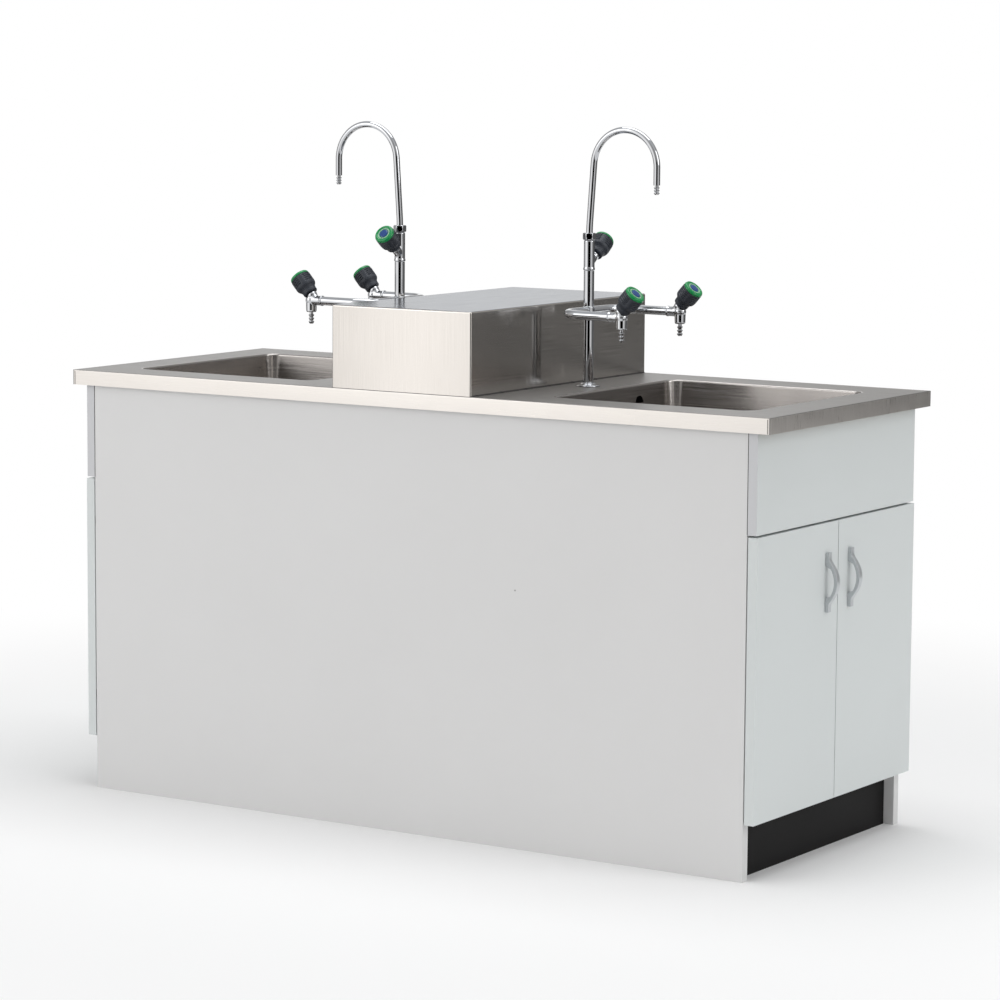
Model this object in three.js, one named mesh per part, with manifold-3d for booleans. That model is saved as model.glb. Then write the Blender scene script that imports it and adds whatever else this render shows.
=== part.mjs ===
// Laboratory sink unit: an island bench with a stainless worktop, a bowl near each end, a raised
// service box between the bowls, a three-way laboratory tap beside each bowl and a two-door
// cupboard in each end. Millimetres, +Z up. The origin is on the floor under the middle of the
// worktop, X runs along the bench, and the long panels face -Y and +Y.

import * as THREE from "three";
import { mergeVertices } from "three/addons/utils/BufferGeometryUtils.js";
import Module from "manifold-3d";

// Fits
const SEAT = 0.3; // gap left between two pieces that are screwed, welded or set together
const RUN = 0.3; // radial gap of a turning piece on its stem or in its socket
const CUT_PAST = 1; // how far a cut runs past the face it opens

// Worktop
const WORKTOP_LENGTH = 1500;
const WORKTOP_WIDTH = 600;
const WORKTOP_HEIGHT = 800; // floor to top face
const WORKTOP_EDGE = 28; // height of the folded edge
const WORKTOP_RETURN = 15; // inward fold under the edge
const STEEL_SHEET = 1.2;
const CORE_THICKNESS = 25;
const END_OVERHANG = 45; // past the ends of the long panels
const SIDE_OVERHANG = 8; // past the outer faces of the long panels

// Bowls
const BOWL_LENGTH = 410; // opening in the worktop along X
const BOWL_WIDTH = 430; // opening in the worktop along Y
const BOWL_DEPTH = 230;
const BOWL_FROM_END = 287; // bowl's middle to the end of the worktop
const BOWL_CORNER = 28; // corner radius of the opening
const BOWL_RIM = 4; // radius of the rolled rim
const BOWL_DRAFT = 4; // how far each wall leans in
const BOWL_FLOOR_FILLET = 25;
const BOWL_FALL = 5; // slope of the floor to the waste
const BOWL_CORE_CLEARANCE = 4;
const DRAIN_HOLE = 52;
const OVERFLOW_HOLE = 28;
const OVERFLOW_DROP = 35; // worktop face to the hole's centre
const OVERFLOW_OFFSET = 90; // from the bench's middle line

// Service box
const RISER_LENGTH = 300;
const RISER_HEIGHT = 150;
const RISER_SETBACK = 1; // behind the worktop's long edges

// Cabinet
const BOARD = 18;
const PLINTH_HEIGHT = 100;
const PLINTH_SETBACK = 20; // behind the ends of the long panels
const FASCIA_HEIGHT = 174;
const RAIL_HEIGHT = 100;
const DOOR_TOP_GAP = 3.5; // under the fascia
const DOOR_MIDDLE_GAP = 2;
const DOOR_BACK_GAP = 2.5; // to the ends of the long panels
const DOOR_BOTTOM_GAP = 0.5; // over the top of the plinth

// Door hinges
const HINGE_SETBACK = 6; // door face to the pivot
const HINGE_INSET = 6; // door edge to the pivot
const HINGE_END_DISTANCE = 80; // door's top or bottom edge to a hinge
const HINGE_BARREL = 5;
const HINGE_LINK = 2.5;
const HINGE_REACH = 20; // pivot to the arm along the door
const HINGE_HEIGHT = 16;
const HINGE_ARM_LENGTH = 60;
const HINGE_ARM_DEPTH = 12;
const HINGE_ARM_START = 1.5; // behind the ends of the long panels
const HINGE_PLATE_LENGTH = 30;
const HINGE_PLATE_HEIGHT = 48;
const HINGE_PLATE_THICKNESS = 2;
const POCKET_CLEARANCE = 0.5; // round the barrel
const POCKET_EDGE_CLEARANCE = 1.5; // barrel to the pocket's wall at the door edge
const POCKET_END_CLEARANCE = 0.8;

// Door handles
const HANDLE_LENGTH = 105;
const HANDLE_WIDTH = 11;
const HANDLE_REACH = 24; // door face to the outside of the bow
const HANDLE_BAR = 7; // thickness of the bow and of the feet
const HANDLE_WINDOW = 57; // clear length between the feet
const HANDLE_FROM_GAP = 42; // middle line of the doors to the handle
const HANDLE_TOP_DROP = 52; // door top to handle top
const HANDLE_FOOT_EASE = 0.55; // share of the half length where the outside leaves a foot
const HANDLE_CROWN_EASE = 0.6; // share of the half length that the crown keeps flat
const HANDLE_WINDOW_EASE = 0.9; // share of the half window where the inside leaves the door

// Taps, measured up from the worktop face and out from the column towards the bowl
const TAP_FROM_RISER = 58; // service box to the column's axis
const FLANGE_DIAMETER = 44;
const FLANGE_HEIGHT = 7;
const FLANGE_LIP = 2;
const FLANGE_COLLAR_WALL = 2;
const COLUMN_DIAMETER = 19;
const COLUMN_HEIGHT = 211;
const SHANK_DIAMETER = 17;
const SHANK_LENGTH = 70;
const SHANK_HOLE_CLEARANCE = 1.5;
const LOCK_NUT_ACROSS = 32;
const LOCK_NUT_HEIGHT = 9;
const MANIFOLD_HEIGHT = 137;
const MANIFOLD_TURN = -3; // degrees about the column, as tightened
const MANIFOLD_TUBE = 15;
const MANIFOLD_BEND = 45;
const MANIFOLD_HUB_WALL = 2;
const MANIFOLD_HUB_HEIGHT = 20;
const ARM_SPACING = 189;
const ARM_END = 108;
const VALVE_REACH = 136; // column to the outlets
const VALVE_BODY = 17;
const VALVE_RING = 18.5;
const VALVE_RING_LENGTH = 3;
const VALVE_HEART = 17.8; // ball where the body, outlet and bonnet meet
const OUTLET_DIAMETER = 17;
const OUTLET_LENGTH = 22;
const NOZZLE_LENGTH = 22;
const NOZZLE_CORE = 7;
const NOZZLE_BARB = 10.5;
const NOZZLE_BARBS = 3;
const NOZZLE_PLAIN = 0.5; // plain length above the barbs, as a share of a barb
const NOZZLE_SHOULDER = 0.6; // foot of a barb to its shoulder, as a share of the barb
const NOZZLE_BORE = 4.5;
const NOZZLE_BORE_DEPTH = 14;
const BONNET_DIAMETER = 17;
const SIDE_BONNET_LENGTH = 17; // arm's axis to the knob's underside
const SIDE_KNOB_SETBACK = 11; // outlet's axis back to where the knob's axis meets the arm
const STEM_DIAMETER = 8;
const STEM_LENGTH = 16; // inside the knob
const SIDE_KNOB_TILT = 47; // degrees above level
const KNOB_DIAMETER = 39;
const KNOB_LENGTH = 44;
const KNOB_BASE = 25;
const KNOB_TAPER_LENGTH = 19;
const KNOB_TOP = 35;
const KNOB_CAP_LENGTH = 6;
const KNOB_LIFT = 0.4; // over the bonnet
const KNOB_BORE_SPARE = 1; // past the end of the stem
const SWAN_VALVE_DIAMETER = 20;
const SWAN_VALVE_LENGTH = 54.5;
const SWAN_VALVE_RING = 21.5;
const SWAN_VALVE_RING_LENGTH = 4;
const SWAN_BONNET_LENGTH = 24;
const SWAN_KNOB_RISE = 13; // foot of the swan valve to its knob's axis
const SWAN_KNOB_TILT = 38; // degrees above level
const NECK_SOCKET_DEPTH = 12;
const SWIVEL_NUT_ACROSS = 24;
const SWIVEL_NUT_HEIGHT = 13;
const NECK_TUBE = 12;
const NECK_TOP = 471; // worktop face to the top of the bend
const NECK_BEND = 66;
const NECK_LEAN = 4; // degrees the riser leans towards the bowl
const NECK_TURN = 177; // degrees of the bend
const NECK_STRAIGHT = 8; // upright length above the swivel nut
const NECK_DROP = 30; // straight length after the bend
const NECK_NOZZLE_LENGTH = 17;
const NECK_NOZZLE_ROOT = 2; // nozzle inside the tube's end

// Waste
const WASTE_FLANGE = 76;
const WASTE_FLANGE_THICKNESS = 2;
const WASTE_TUBE = 48;
const WASTE_WALL = 4;
const WASTE_LENGTH = 72;
const TRAP_DIAMETER = 88;
const TRAP_HEIGHT = 130;
const TRAP_WALL = 3;
const TRAP_COLLAR_HEIGHT = 26;
const TRAP_COLLAR_WALL = 7;
const TRAP_OVERLAP = 40; // waste tube inside the trap's collar and body
const TRAP_OUTLET = 40;
const TRAP_OUTLET_LENGTH = 95;
const TRAP_OUTLET_DROP = 30; // trap's shoulder to the outlet's axis

// Facets of round pieces
const COARSE = 10;
const MEDIUM = 12;
const FINE = 16;
const CORNER_STEPS = 4;
const RIM_STEPS = 3;
const FILLET_STEPS = 4;
const HANDLE_STEPS = 8;
const MANIFOLD_STEPS = 34;
const NECK_STEPS = 26;

// Places worked out from the sizes above
const END_X = WORKTOP_LENGTH / 2;
const EDGE_Y = WORKTOP_WIDTH / 2;
const UNDERSIDE = WORKTOP_HEIGHT - WORKTOP_EDGE;
const SHEET_UNDERSIDE = WORKTOP_HEIGHT - STEEL_SHEET;
const CORE_TOP = SHEET_UNDERSIDE - SEAT;
const CORE_BOTTOM = CORE_TOP - CORE_THICKNESS;
const PANEL_END = END_X - END_OVERHANG;
const PANEL_FACE = EDGE_Y - SIDE_OVERHANG;
const PANEL_BACK = PANEL_FACE - BOARD;
const INNER_WIDTH = 2 * (PANEL_BACK - SEAT);
const PANEL_TOP = UNDERSIDE - SEAT;
const CARCASS_TOP = CORE_BOTTOM - SEAT;
const FLOOR_TOP = PLINTH_HEIGHT + BOARD;
const FASCIA_BOTTOM = UNDERSIDE - FASCIA_HEIGHT;
const DOOR_BOTTOM = PLINTH_HEIGHT + DOOR_BOTTOM_GAP;
const DOOR_TOP = FASCIA_BOTTOM - DOOR_TOP_GAP;
const DOOR_BACK = PANEL_END + DOOR_BACK_GAP;
const DOOR_FACE = DOOR_BACK + BOARD;
const DOOR_WIDTH = PANEL_FACE - DOOR_MIDDLE_GAP / 2;
const HINGE_X = DOOR_FACE - HINGE_SETBACK;
const HINGE_Y = PANEL_FACE - HINGE_INSET;
const HINGE_HEIGHTS = { lower: DOOR_BOTTOM + HINGE_END_DISTANCE, upper: DOOR_TOP - HINGE_END_DISTANCE };
const BOWL_X = END_X - BOWL_FROM_END;
const TAP_X = RISER_LENGTH / 2 + TAP_FROM_RISER;
const SWAN_VALVE_TOP = COLUMN_HEIGHT + SWAN_VALVE_LENGTH;

// Finishes
const finish = (color, roughness, metalness) =>
  new THREE.MeshStandardMaterial({ color, roughness, metalness });
const melamineBoard = finish(0xd5d6d6, 0.45, 0);
const doorBoard = finish(0xcdd2d2, 0.4, 0);
const rawBoard = finish(0xb59a72, 0.8, 0);
const blackBoard = finish(0x1f1d1f, 0.6, 0);
const brushedSteel = finish(0xa8a6a2, 0.35, 1);
const satinAluminium = finish(0xa9aeb1, 0.4, 1);
const chrome = finish(0xd8dadc, 0.08, 1);
const nickelSteel = finish(0xb9babb, 0.3, 1);
const greyPlastic = finish(0x31343b, 0.5, 0);
const whitePlastic = finish(0xe4e4e0, 0.45, 0);

const wasm = await Module();
wasm.setup();

// A closed geometry as a solid that can be joined and cut.
function solid(geometry) {
  const bare = geometry.index ? geometry.toNonIndexed() : geometry.clone();
  bare.deleteAttribute("normal");
  bare.deleteAttribute("uv");
  const merged = mergeVertices(bare, 1e-4);
  return new wasm.Manifold(
    new wasm.Mesh({
      numProp: 3,
      vertProperties: new Float32Array(merged.attributes.position.array),
      triVerts: new Uint32Array(merged.index.array),
    }),
  );
}

// The geometry of a joined or cut solid.
function surface(made) {
  const mesh = made.getMesh();
  const geometry = new THREE.BufferGeometry();
  geometry.setAttribute("position", new THREE.BufferAttribute(mesh.vertProperties, 3));
  geometry.setIndex(new THREE.BufferAttribute(mesh.triVerts, 1));
  return geometry;
}

const join = (...geometries) => surface(geometries.map(solid).reduce((whole, next) => whole.add(next)));

function cut(geometry, ...tools) {
  return surface(tools.map(solid).reduce((whole, tool) => whole.subtract(tool), solid(geometry)));
}

// A box between two opposite corners.
function block(low, high) {
  const size = high.map((value, i) => value - low[i]);
  const middle = high.map((value, i) => (value + low[i]) / 2);
  return new THREE.BoxGeometry(...size).translate(...middle);
}

// A flat outline in XY raised from one height to another.
function slab(outline, bottom, top, curveSegments = CORNER_STEPS) {
  const depth = top - bottom;
  const options = { depth, bevelEnabled: false, curveSegments };
  return new THREE.ExtrudeGeometry(outline, options).translate(0, 0, bottom);
}

// A profile of [radius, height] points turned about Z. It runs up the outside.
function turned(profile, facets) {
  const points = profile.map(([radius, height]) => new THREE.Vector2(radius, height));
  return new THREE.LatheGeometry(points, facets).rotateX(Math.PI / 2);
}

const rod = (radius, bottom, top, facets) =>
  turned([[0, bottom], [radius, bottom], [radius, top], [0, top]], facets);

// A round bar bent along a path.
function tube(path, radius, facets, steps) {
  const section = new THREE.Shape();
  section.absarc(0, 0, radius, 0, 2 * Math.PI);
  const options = { extrudePath: path, steps, curveSegments: facets / 2, bevelEnabled: false };
  return new THREE.ExtrudeGeometry(section, options);
}

// An arc that starts at a point with a direction and turns about an axis.
class ArcCurve extends THREE.Curve {
  constructor(centre, start, axis, angle) {
    super();
    Object.assign(this, { centre, start, axis, angle });
  }

  getPoint(t, target = new THREE.Vector3()) {
    return target
      .copy(this.start)
      .sub(this.centre)
      .applyAxisAngle(this.axis, this.angle * t)
      .add(this.centre);
  }
}

function roundedRectangle(halfX, halfY, radius) {
  const outline = new THREE.Shape();
  outline.absarc(halfX - radius, halfY - radius, radius, 0, Math.PI / 2);
  outline.absarc(radius - halfX, halfY - radius, radius, Math.PI / 2, Math.PI);
  outline.absarc(radius - halfX, radius - halfY, radius, Math.PI, 1.5 * Math.PI);
  outline.absarc(halfX - radius, radius - halfY, radius, 1.5 * Math.PI, 2 * Math.PI);
  outline.closePath();
  return outline;
}

function hexagon(across, hole) {
  const corner = across / Math.sqrt(3);
  const outline = new THREE.Shape();
  for (let i = 0; i < 6; i++) {
    const turn = (i * Math.PI) / 3;
    outline[i ? "lineTo" : "moveTo"](corner * Math.cos(turn), corner * Math.sin(turn));
  }
  outline.closePath();
  const bore = new THREE.Path();
  bore.absarc(0, 0, hole, 0, 2 * Math.PI);
  outline.holes.push(bore);
  return outline;
}

function add(parent, name, geometry, material) {
  const mesh = new THREE.Mesh(geometry, material);
  mesh.name = name;
  parent.add(mesh);
  return mesh;
}

// A board placed by its middle, with its size along X, Y and Z.
function addBoard(parent, name, low, high, material) {
  const size = high.map((value, i) => value - low[i]);
  const board = add(parent, name, new THREE.BoxGeometry(...size), material);
  board.position.set(...high.map((value, i) => (value + low[i]) / 2));
}

// Worktop: a stainless tray with folded edges, turned over a board, with holes for bowls and taps.
function worktopGeometry() {
  const outside = block([-END_X, -EDGE_Y, UNDERSIDE], [END_X, EDGE_Y, WORKTOP_HEIGHT]);
  const insideX = END_X - STEEL_SHEET;
  const insideY = EDGE_Y - STEEL_SHEET;
  const returnTop = UNDERSIDE + STEEL_SHEET;
  const inside = block([-insideX, -insideY, returnTop], [insideX, insideY, SHEET_UNDERSIDE]);
  const mouthX = END_X - WORKTOP_RETURN;
  const mouthY = EDGE_Y - WORKTOP_RETURN;
  const mouth = block([-mouthX, -mouthY, UNDERSIDE - CUT_PAST], [mouthX, mouthY, returnTop + CUT_PAST]);
  return cut(outside, inside, mouth, ...bowlHoles(0), ...tapHoles());
}

function coreGeometry() {
  const halfX = END_X - STEEL_SHEET - SEAT;
  const halfY = EDGE_Y - STEEL_SHEET - SEAT;
  const board = block([-halfX, -halfY, CORE_BOTTOM], [halfX, halfY, CORE_TOP]);
  return cut(board, ...bowlHoles(BOWL_CORE_CLEARANCE), ...tapHoles());
}

// Through cutters for both bowls, grown by a clearance.
function bowlHoles(clearance) {
  const halfX = BOWL_LENGTH / 2 + clearance;
  const halfY = BOWL_WIDTH / 2 + clearance;
  const outline = roundedRectangle(halfX, halfY, BOWL_CORNER + clearance);
  const bottom = CORE_BOTTOM - CUT_PAST;
  const top = WORKTOP_HEIGHT + CUT_PAST;
  return [-BOWL_X, BOWL_X].map((x) => slab(outline, bottom, top).translate(x, 0, 0));
}

// Through cutters for the shanks of both taps.
function tapHoles() {
  const radius = SHANK_DIAMETER / 2 + SHANK_HOLE_CLEARANCE;
  const bottom = CORE_BOTTOM - CUT_PAST;
  const top = WORKTOP_HEIGHT + CUT_PAST;
  return [-TAP_X, TAP_X].map((x) => rod(radius, bottom, top, MEDIUM).translate(x, 0, 0));
}

// One closed ring of a bowl: a rounded rectangle inset from the worktop's opening.
function bowlRing(inset, height) {
  const radius = Math.max(BOWL_CORNER - inset, 1);
  const farX = BOWL_LENGTH / 2 - inset - radius;
  const farY = BOWL_WIDTH / 2 - inset - radius;
  const ring = [];
  for (let corner = 0; corner < 4; corner++) {
    const signX = corner === 0 || corner === 3 ? 1 : -1;
    const signY = corner < 2 ? 1 : -1;
    for (let step = 0; step <= CORNER_STEPS; step++) {
      const turn = ((corner + step / CORNER_STEPS) * Math.PI) / 2;
      const x = signX * farX + radius * Math.cos(turn);
      const y = signY * farY + radius * Math.sin(turn);
      ring.push([x, y, height]);
    }
  }
  return ring;
}

// The round drain hole with as many points as a bowl ring.
function drainRing(height) {
  const radius = DRAIN_HOLE / 2;
  const count = 4 * (CORNER_STEPS + 1);
  return Array.from({ length: count }, (_, i) => {
    const turn = (2 * Math.PI * (i + 0.5)) / count;
    return [radius * Math.cos(turn), radius * Math.sin(turn), height];
  });
}

// Rings skinned one to the next, with the last joined to the first.
function skinned(rings) {
  const count = rings[0].length;
  const index = [];
  rings.forEach((_, r) => {
    const here = r * count;
    const next = ((r + 1) % rings.length) * count;
    for (let i = 0; i < count; i++) {
      const j = (i + 1) % count;
      index.push(here + i, here + j, next + j, here + i, next + j, next + i);
    }
  });
  const geometry = new THREE.BufferGeometry();
  geometry.setAttribute("position", new THREE.Float32BufferAttribute(rings.flat(2), 3));
  geometry.setIndex(index);
  return geometry;
}

// Bowl: a pressed sheet with a rolled rim, leaning walls, a rounded floor edge and a sloping floor.
// The profile holds [inset, height] pairs, and the outer side lies one sheet away.
function bowlGeometry() {
  const wallInset = BOWL_RIM + BOWL_DRAFT;
  const floor = WORKTOP_HEIGHT - BOWL_DEPTH;
  const side = (offset) => {
    const rim = BOWL_RIM - offset;
    const fillet = BOWL_FLOOR_FILLET + offset;
    const rings = [];
    for (let step = 0; step <= RIM_STEPS; step++) {
      const turn = (step / RIM_STEPS) * (Math.PI / 2);
      const inset = Math.max(SEAT, rim * Math.sin(turn));
      rings.push(bowlRing(inset, WORKTOP_HEIGHT - offset - rim * (1 - Math.cos(turn))));
    }
    for (let step = 0; step <= FILLET_STEPS; step++) {
      const turn = (step / FILLET_STEPS) * (Math.PI / 2);
      const inset = wallInset - offset + fillet * (1 - Math.cos(turn));
      rings.push(bowlRing(inset, floor - offset + fillet * (1 - Math.sin(turn))));
    }
    rings.push(drainRing(floor - offset - BOWL_FALL));
    return rings;
  };
  const shell = skinned([...side(0), ...side(STEEL_SHEET).reverse()]);
  const reach = BOWL_LENGTH / 2;
  const hole = rod(OVERFLOW_HOLE / 2, 0, reach, MEDIUM)
    .rotateY(-Math.PI / 2)
    .translate(0, OVERFLOW_OFFSET, WORKTOP_HEIGHT - OVERFLOW_DROP);
  return cut(shell, hole);
}

// Service box: a folded sheet cover, open below, standing on the worktop.
function riserGeometry() {
  const halfX = RISER_LENGTH / 2;
  const halfY = EDGE_Y - RISER_SETBACK;
  const bottom = WORKTOP_HEIGHT + SEAT;
  const top = WORKTOP_HEIGHT + RISER_HEIGHT;
  const outside = block([-halfX, -halfY, bottom], [halfX, halfY, top]);
  const innerX = halfX - STEEL_SHEET;
  const innerY = halfY - STEEL_SHEET;
  const inside = block([-innerX, -innerY, bottom - CUT_PAST], [innerX, innerY, top - STEEL_SHEET]);
  return cut(outside, inside);
}

// Door: a board with a pocket in its back for each hinge. The hand is the side it hangs on along Y.
function doorGeometry(hand) {
  const edge = PANEL_FACE;
  const inner = PANEL_FACE - DOOR_WIDTH;
  const nearest = Math.min(hand * edge, hand * inner);
  const furthest = Math.max(hand * edge, hand * inner);
  const board = block([DOOR_BACK, nearest, DOOR_BOTTOM], [DOOR_FACE, furthest, DOOR_TOP]);
  const pocketFront = HINGE_X + HINGE_BARREL / 2 + POCKET_CLEARANCE;
  const pocketEdge = hand * (HINGE_Y + HINGE_BARREL / 2 + POCKET_EDGE_CLEARANCE);
  const pocketReach = HINGE_REACH + HINGE_LINK / 2 + 2 * POCKET_CLEARANCE;
  const pocketInner = hand * (HINGE_Y - pocketReach);
  const halfHeight = HINGE_HEIGHT / 2 + POCKET_END_CLEARANCE;
  const pockets = Object.values(HINGE_HEIGHTS).map((height) =>
    block(
      [DOOR_BACK - CUT_PAST, Math.min(pocketEdge, pocketInner), height - halfHeight],
      [pocketFront, Math.max(pocketEdge, pocketInner), height + halfHeight],
    ),
  );
  return cut(board, ...pockets);
}

// Hinge arm: a plate on the long panel's inner face, an arm, and a cranked link that ends in a
// barrel on the door's pivot line. Drawn from the pivot, with +X out and +Y to the bench's middle.
function hingeGeometry(hand) {
  const half = HINGE_LINK / 2;
  const barrel = HINGE_BARREL / 2;
  const meet = Math.acos(half / barrel);
  const panelY = BOARD - HINGE_INSET + SEAT;
  const armX = PANEL_END - HINGE_X - HINGE_ARM_START;
  const backX = armX - HINGE_ARM_LENGTH;
  const frontY = panelY + HINGE_ARM_DEPTH;
  const outline = new THREE.Shape();
  outline.absarc(0, 0, barrel, meet, Math.PI - meet, true);
  outline.lineTo(-half, HINGE_REACH - half);
  outline.lineTo(armX, HINGE_REACH - half);
  outline.lineTo(armX, panelY);
  outline.lineTo(backX, panelY);
  outline.lineTo(backX, frontY);
  outline.lineTo(armX, frontY);
  outline.lineTo(armX, HINGE_REACH + half);
  outline.lineTo(half, HINGE_REACH + half);
  outline.closePath();
  const arm = slab(outline, -HINGE_HEIGHT / 2, HINGE_HEIGHT / 2);
  const plateX = (armX + backX - HINGE_PLATE_LENGTH) / 2;
  const plate = block(
    [plateX, panelY, -HINGE_PLATE_HEIGHT / 2],
    [plateX + HINGE_PLATE_LENGTH, panelY + HINGE_PLATE_THICKNESS, HINGE_PLATE_HEIGHT / 2],
  );
  const made = join(arm, plate);
  return hand < 0 ? made : made.rotateX(Math.PI);
}

// Handle: a bow with two flat feet, drawn along Z and standing out along X.
function handleGeometry() {
  const end = HANDLE_LENGTH / 2;
  const window = HANDLE_WINDOW / 2;
  const inside = HANDLE_REACH - HANDLE_BAR;
  const footBend = HANDLE_FOOT_EASE * end;
  const crownBend = HANDLE_CROWN_EASE * end;
  const windowBend = HANDLE_CROWN_EASE * window;
  const windowLeave = HANDLE_WINDOW_EASE * window;
  const insideLeave = HANDLE_CROWN_EASE * inside;
  const outline = new THREE.Shape();
  outline.moveTo(0, -end);
  outline.lineTo(HANDLE_BAR, -end);
  outline.bezierCurveTo(HANDLE_BAR, -footBend, HANDLE_REACH, -crownBend, HANDLE_REACH, 0);
  outline.bezierCurveTo(HANDLE_REACH, crownBend, HANDLE_BAR, footBend, HANDLE_BAR, end);
  outline.lineTo(0, end);
  outline.lineTo(0, window);
  outline.bezierCurveTo(insideLeave, windowLeave, inside, windowBend, inside, 0);
  outline.bezierCurveTo(inside, -windowBend, insideLeave, -windowLeave, 0, -window);
  outline.closePath();
  const options = { depth: HANDLE_WIDTH, bevelEnabled: false, curveSegments: HANDLE_STEPS };
  const bar = new THREE.ExtrudeGeometry(outline, options).translate(0, 0, -HANDLE_WIDTH / 2);
  return bar.rotateX(Math.PI / 2);
}

// One cupboard end, drawn at the +X end of the bench: plinth, top rail, fascia, doors and hinges.
function cupboardEnd(name, sideNames) {
  const end = new THREE.Group();
  const plinthFace = PANEL_END - PLINTH_SETBACK;
  const halfWidth = INNER_WIDTH / 2;
  addBoard(
    end,
    `${name}_plinth`,
    [plinthFace - BOARD, -halfWidth, 0],
    [plinthFace, halfWidth, PLINTH_HEIGHT - SEAT],
    blackBoard,
  );
  addBoard(
    end,
    `${name}_top_rail`,
    [PANEL_END - BOARD, -halfWidth, CARCASS_TOP - RAIL_HEIGHT],
    [PANEL_END, halfWidth, CARCASS_TOP],
    melamineBoard,
  );
  addBoard(
    end,
    `${name}_fascia`,
    [PANEL_END + SEAT, -PANEL_FACE, FASCIA_BOTTOM],
    [PANEL_END + SEAT + BOARD, PANEL_FACE, PANEL_TOP],
    doorBoard,
  );
  for (const [hand, side] of sideNames) {
    add(end, `${name}_${side}_door`, doorGeometry(hand), doorBoard);
    const handle = add(end, `${name}_${side}_door_handle`, handleGeometry(), satinAluminium);
    const handleZ = DOOR_TOP - HANDLE_TOP_DROP - HANDLE_LENGTH / 2;
    handle.position.set(DOOR_FACE + SEAT, hand * HANDLE_FROM_GAP, handleZ);
    for (const [level, height] of Object.entries(HINGE_HEIGHTS)) {
      const hinge = add(end, `${name}_${side}_${level}_hinge`, hingeGeometry(hand), nickelSteel);
      hinge.position.set(HINGE_X, hand * HINGE_Y, height);
    }
  }
  return end;
}

// A barbed hose nozzle hanging from height 0, as [radius, height] points from its tip upwards.
function nozzleProfile(length) {
  const pitch = length / (NOZZLE_BARBS + NOZZLE_PLAIN);
  const core = NOZZLE_CORE / 2;
  const barb = NOZZLE_BARB / 2;
  const bore = NOZZLE_BORE / 2;
  const boreEnd = NOZZLE_BORE_DEPTH - length;
  const profile = [[0, boreEnd], [bore, boreEnd], [bore, -length]];
  for (let i = 0; i < NOZZLE_BARBS; i++) {
    const foot = i * pitch - length;
    profile.push([core, foot], [barb, foot + NOZZLE_SHOULDER * pitch]);
  }
  return profile;
}

// Bonnet and stem of a valve along +Z, which carry its knob.
function bonnetGeometry(length) {
  const bonnet = BONNET_DIAMETER / 2;
  const stem = STEM_DIAMETER / 2;
  const top = length + STEM_LENGTH;
  const profile = [[0, 0], [bonnet, 0], [bonnet, length], [stem, length], [stem, top], [0, top]];
  return turned(profile, MEDIUM);
}

// Side valve: a body on the manifold's arm, a hanging hose outlet and a tilted bonnet.
function sideValveGeometry() {
  const back = ARM_END - VALVE_REACH + SEAT;
  const ring = VALVE_RING / 2;
  const body = VALVE_BODY / 2;
  const ringEnd = back + VALVE_RING_LENGTH;
  const barrel = [[0, back], [ring, back], [ring, ringEnd], [body, ringEnd]];
  const socket = turned([...barrel, [body, 0], [0, 0]], MEDIUM).rotateY(Math.PI / 2);
  const outletRadius = OUTLET_DIAMETER / 2;
  const nozzle = nozzleProfile(NOZZLE_LENGTH).map(([r, z]) => [r, z - OUTLET_LENGTH]);
  const outlet = turned([...nozzle, [outletRadius, -OUTLET_LENGTH], [outletRadius, 0], [0, 0]], MEDIUM);
  const heart = new THREE.SphereGeometry(VALVE_HEART / 2, MEDIUM, MEDIUM / 2);
  const bonnet = bonnetGeometry(SIDE_BONNET_LENGTH).rotateY(tiltFromUpright(SIDE_KNOB_TILT));
  return join(socket, outlet, heart, bonnet.translate(-SIDE_KNOB_SETBACK, 0, 0));
}

const tiltFromUpright = (degreesAboveLevel) => THREE.MathUtils.degToRad(90 - degreesAboveLevel);

// Manifold: a C of tube with its middle brazed through a sleeve on the column.
function manifoldGeometry() {
  const radius = MANIFOLD_TUBE / 2;
  const armY = ARM_SPACING / 2;
  const middle = armY - MANIFOLD_BEND;
  const up = new THREE.Vector3(0, 0, 1);
  const path = new THREE.CurvePath();
  const at = (x, y) => new THREE.Vector3(x, y, 0);
  const bendX = MANIFOLD_BEND;
  path.add(new THREE.LineCurve3(at(ARM_END, armY), at(bendX, armY)));
  path.add(new ArcCurve(at(bendX, middle), at(bendX, armY), up, Math.PI / 2));
  path.add(new THREE.LineCurve3(at(0, middle), at(0, -middle)));
  path.add(new ArcCurve(at(bendX, -middle), at(0, -middle), up, Math.PI / 2));
  path.add(new THREE.LineCurve3(at(bendX, -armY), at(ARM_END, -armY)));
  const bar = tube(path, radius, COARSE, MANIFOLD_STEPS);
  const bore = COLUMN_DIAMETER / 2 + SEAT;
  const half = MANIFOLD_HUB_HEIGHT / 2;
  const hub = rod(bore + MANIFOLD_HUB_WALL, -half, half, FINE);
  return cut(join(bar, hub), rod(bore, -2 * half, 2 * half, FINE));
}

function columnGeometry() {
  const shank = SHANK_DIAMETER / 2;
  const column = COLUMN_DIAMETER / 2;
  const bottom = -SHANK_LENGTH;
  const foot = SEAT;
  const top = COLUMN_HEIGHT - SEAT;
  const lower = [[0, bottom], [shank, bottom], [shank, foot]];
  const upper = [[column, foot], [column, top], [0, top]];
  return turned([...lower, ...upper], FINE);
}

function flangeGeometry() {
  const bore = COLUMN_DIAMETER / 2 + SEAT;
  const rim = FLANGE_DIAMETER / 2;
  const collar = bore + FLANGE_COLLAR_WALL;
  const profile = [
    [bore, SEAT],
    [rim, SEAT],
    [rim, FLANGE_LIP],
    [collar, FLANGE_HEIGHT],
    [bore, FLANGE_HEIGHT],
  ];
  return turned([...profile, profile[0]], FINE);
}

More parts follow.
